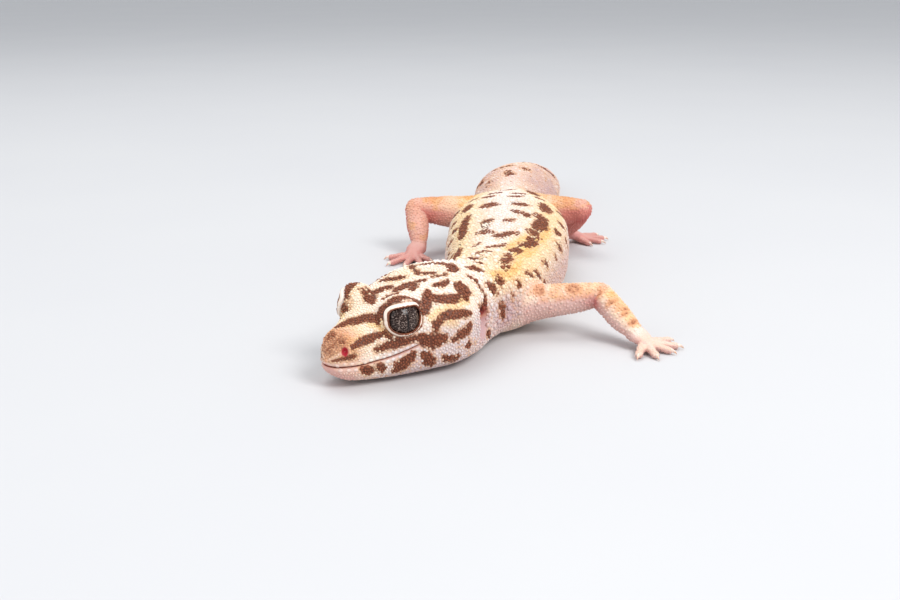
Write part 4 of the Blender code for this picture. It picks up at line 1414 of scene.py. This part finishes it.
def build_coat(shape):
    """Granules over all the skin, larger knobs on crown, neck, back, tail and legs, and plates on the lips.

    Each kind of scale stands on points of the even grid that are chosen at least its own distance apart.
    """
    points, triangles, _ = read(shape)
    c = coordinates(points)
    c["p"] = p = fold(points, triangles, c)
    normals = normals_of(p, triangles)
    random = np.random.default_rng(7)
    rank = random.random(len(p))
    s, side, t, turn = c["s"], np.abs(c["a"]), c["t"], c["turn"]
    limb = c["limb"]
    bare = bare_skin(c)
    over, there = mouth_gap(c)
    lips = (np.abs(over) < 0.95) & (there > 0.3) & (side > 25)

    knobby = ~bare & ~lips & (p[:, 2] > 2.0)
    back = knobby & (limb < 0.3) & (s > 30) & (s < KNOBS_END) & (side < 100)
    nape = back & (s < NAPE_END)
    crown = knobby & (s > 18) & (s < 29.5) & (side < 64)
    legs = knobby & (limb > 0.7) & (t < 2.1) & (np.sin(turn) > -0.2)
    knobs = spread(p, nape, rank, NAPE_KNOB_GAP) | spread(p, crown, rank, CROWN_KNOB_GAP)
    knobs |= spread(p, back & ~nape, rank, BACK_KNOB_GAP) | spread(p, legs, rank, LEG_KNOB_GAP)

    head = (limb < 0.5) & (s < HEAD_END)
    tiny = head | ((limb > 0.5) & (t > 2.2))
    free = ~bare & ~crowded(p, np.flatnonzero(knobs), BESIDE_KNOB)
    large = spread(p, free & ~tiny, rank, BODY_GAP)
    free &= tiny & ~lips
    nose = head & (s < NOSE_END)
    small = spread(p, free & (nose | ~head), rank, NOSE_GAP) | spread(p, free & head & ~nose, rank, HEAD_GAP)
    masks_all = marks(c)

    def piece(name, chosen, radius, height, sides, lift=0.0):
        """One coat piece on the chosen points, each scale a little off in its size and its tint."""
        index = np.flatnonzero(chosen)
        masks = masks_all[index]
        own = random.uniform(-1, 1, (len(index), 2))
        loose = np.where((side[index] > 89) & (s[index] < 26), 0.42, 0.22)
        loose = np.where((s[index] < 5) | (limb[index] > 0.5), 0.06, loose)
        masks[:, 0] = np.clip(masks[:, 0] + loose * own[:, 0], 0, 1)
        masks[:, 3] = np.clip(masks[:, 3] + lift * (1 - masks[:, 0]) + 0.15 * own[:, 1], 0, 1)
        wide = radius[index] * random.uniform(0.9, 1.1, len(index))
        tall = height[index] * random.uniform(0.85, 1.15, len(index))
        coat_piece(name, c, normals, index, wide, tall, sides, masks)

    radius = np.where(head, np.where(s < NOSE_END, 0.24, 0.29), np.where(tiny, 0.2, 0.34))
    height = np.where(side > 120, 0.1, np.where(tiny & ~head, 0.08, 0.19))
    height *= 0.35 + 0.65 * ease(np.minimum(s, TAIL_END - s), 0.5, 2.5)
    cheek = small & head & (s >= FACE_END)
    piece("coat_face", small & head & (s < FACE_END), radius, height, 6)
    piece("coat_head_left", cheek & (c["a"] > 0), radius, height, 6)
    piece("coat_head_right", cheek & (c["a"] <= 0), radius, height, 6)
    for name, (start, end) in COAT_PIECES.items():
        piece(f"coat_{name}", large & (limb <= 0.5) & (s >= start) & (s < end), radius, height, 5)
    for n, leg in enumerate(LEGS):
        mine = (large | small) & (limb > 0.5) & (c["which"] == n)
        piece(f"coat_{leg}", mine, radius * 0.9, height * 0.9, 5)
    share = np.where(limb > 0.5, 0.7, 1.0)
    radius = np.where(s < 30, 0.4, np.where(s < NAPE_END, 0.52, 0.55)) * share
    height = np.where(s < 30, 0.34, np.where(s < NAPE_END, 0.42, 0.25)) * share
    piece("coat_knobs", knobs, radius, height, 8, lift=np.where(limb[knobs] > 0.5, 0.0, 0.45))
    build_lips(c, normals, masks_all)


def build_lips(c, normals, masks_all):
    """Plates along both lips: at even steps of the mouth's line, a little above and below it, on the skin."""
    over, _ = mouth_gap(c)
    index, wide = [], []
    # Height over the mouth's line, step from plate to plate, and station of the first.
    rows = ((0.52, 0.98, 1.2), (-0.5, 1.02, 1.5))
    for mirror, (gap, step, first) in product((1, -1), rows):
        for at in np.arange(first, MOUTH_CORNER - 0.3, step):
            cost = np.hypot(c["s"] - at, over - gap) + 10 * (mirror * c["a"] < 25) + 10 * (c["limb"] > 0.5)
            index.append(int(cost.argmin()))
            wide.append(0.5 * (1 - 0.25 * at / MOUTH_CORNER))
    wide = np.array(wide)
    way = heading(c["s"][index])
    lean = np.stack([np.sin(way), np.cos(way), np.full(len(index), 0.12)], 1)
    masks = masks_all[index]
    masks[:, 3] = np.clip(masks[:, 3] + 0.3, 0, 1)
    coat_piece("coat_lips", c, normals, index, wide * 0.8, wide * 0.2, 8, masks, lean=lean, long=1.3)


def build_eyes():
    """Eyeballs: spheres with their poles on the line out of the head. Their radius is a little larger in
    front, and falls by an S over the angle from that line."""
    polar = np.linspace(0, pi, 50)[1:-1]
    around = circle(64)
    radius = EYE_RADIUS * (1 - EYE_BULGE * ease(polar, 0.6, 1.2))
    a = (radius * np.sin(polar))[:, None] * np.cos(around)
    b = (radius * np.sin(polar))[:, None] * np.sin(around)
    h = np.broadcast_to((radius * np.cos(polar))[:, None], a.shape)
    count, turns = a.shape
    i, j = np.meshgrid(np.arange(count - 1), np.arange(turns), indexing="ij")
    k = (j + 1) % turns
    walls = np.stack([i * turns + j, (i + 1) * turns + j, (i + 1) * turns + k, i * turns + k], -1)
    j, k = j[0], k[0]
    last = (count - 1) * turns
    front = np.stack([j, k, np.full(turns, count * turns)], 1)
    back = np.stack([last + k, last + j, np.full(turns, count * turns + 1)], 1)
    # The iris map: the distances along and up from the line out of the head, 1 for 10 mm.
    iris = np.concatenate([np.stack([a, b], -1).reshape(-1, 2), [[0, 0], [0, 0]]]) / 10
    for side, name in ((1, "eye_left"), (-1, "eye_right")):
        middle, out, along, up = eye_axes(side)
        rings = middle + a[..., None] * along + b[..., None] * up + h[..., None] * out
        poles = middle + np.array([[EYE_RADIUS], [-EYE_RADIUS * (1 - EYE_BULGE)]]) * out
        points = np.concatenate([rings.reshape(-1, 3), poles])
        faces = [walls.reshape(-1, 4), front, back]
        if np.linalg.det([along, up, out]) < 0:
            faces = [f[:, ::-1] for f in faces]
        mesh = mesh_of(f"{name}_ball", to_metres(points), faces)
        map_points(mesh, "iris", iris)
        mesh.materials.append(EYE)
        thing = add(f"{name}_ball", mesh)
        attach(thing, "root")
        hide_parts(name)


def build_claws():
    """Claws: cones bent along an arc that rises from the toe and comes down to a point, five to a foot."""
    t = np.linspace(0, 1, 10)
    for leg in LEGS:
        work = bmesh.new()
        lines = toe_lines(leg)
        for root, way, length in lines:
            forward = length - 0.45 + t * (CLAW_LENGTH - 0.05)
            height = 0.72 + 0.5 * t - 1.02 * t**2.2
            middle = np.column_stack([root + forward[:, None] * way, height])
            radius = 0.46 * (1 - t) ** 0.75 + 0.03
            work.from_mesh(closed_mesh("claw", tube_rings(middle, radius * 0.8, radius, 10)))
        mesh = finished(work, f"claws_{leg}")
        along = np.tile(np.repeat(t, 10), len(lines)).astype(np.float32)
        mesh.attributes.new("along", "FLOAT", "POINT").data.foreach_set("value", along)
        move(mesh, to_metres(read(mesh)[0]))
        mesh.shade_smooth()
        mesh.materials.append(CLAW)
        thing = add(f"claws_{leg}", mesh)
        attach(thing, "root")


def build_stage():
    """A pale floor, soft lights from above and the sides, and the camera."""
    corners = np.array([[-5, -5, 0], [5, -5, 0], [5, 8, 0], [-5, 8, 0]])
    floor = add("floor", mesh_of("floor", corners, [np.array([[0, 1, 2, 3]])]))
    floor.data.materials.append(floor_material())
    world = bpy.data.worlds.new("studio")
    bpy.context.scene.world = world
    world.use_nodes = True
    sky = world.node_tree.nodes["Background"]
    feed(world.node_tree, sky, {"Color": (0.92, 0.95, 1.0, 1), "Strength": 0.75})
    head = Vector(to_metres(place(np.float64(20.0), 0.0, 8.0)).tolist())
    for name, (offset, size, power) in LIGHTS.items():
        light = bpy.data.lights.new(name, "AREA")
        light.size = size
        light.energy = power
        thing = add(name, light)
        thing.location = head + Vector(offset)
        thing.rotation_euler = (-Vector(offset)).to_track_quat("-Z", "Y").to_euler()
    lens = bpy.data.cameras.new("camera")
    lens.lens = CAMERA_LENS
    lens.sensor_width = CAMERA_SENSOR
    lens.clip_start = 0.005
    camera = add("camera", lens)
    camera.location = Vector(to_metres(np.array(CAMERA_PLACE)).tolist())
    look = Matrix.Rotation(radians(CAMERA_TURN), 4, "Z") @ Matrix.Rotation(radians(90 - CAMERA_TILT), 4, "X")
    camera.rotation_euler = (look @ Matrix.Rotation(radians(CAMERA_ROLL), 4, "Z")).to_euler()
    bpy.context.scene.camera = camera
    bpy.context.scene.view_settings.view_transform = "Standard"


SHAPE = skin_shape()
build_skin(SHAPE)
build_coat(SHAPE)
build_eyes()
build_claws()
build_stage()
for mesh in [m for m in bpy.data.meshes if m.users == 0]:
    bpy.data.meshes.remove(mesh)
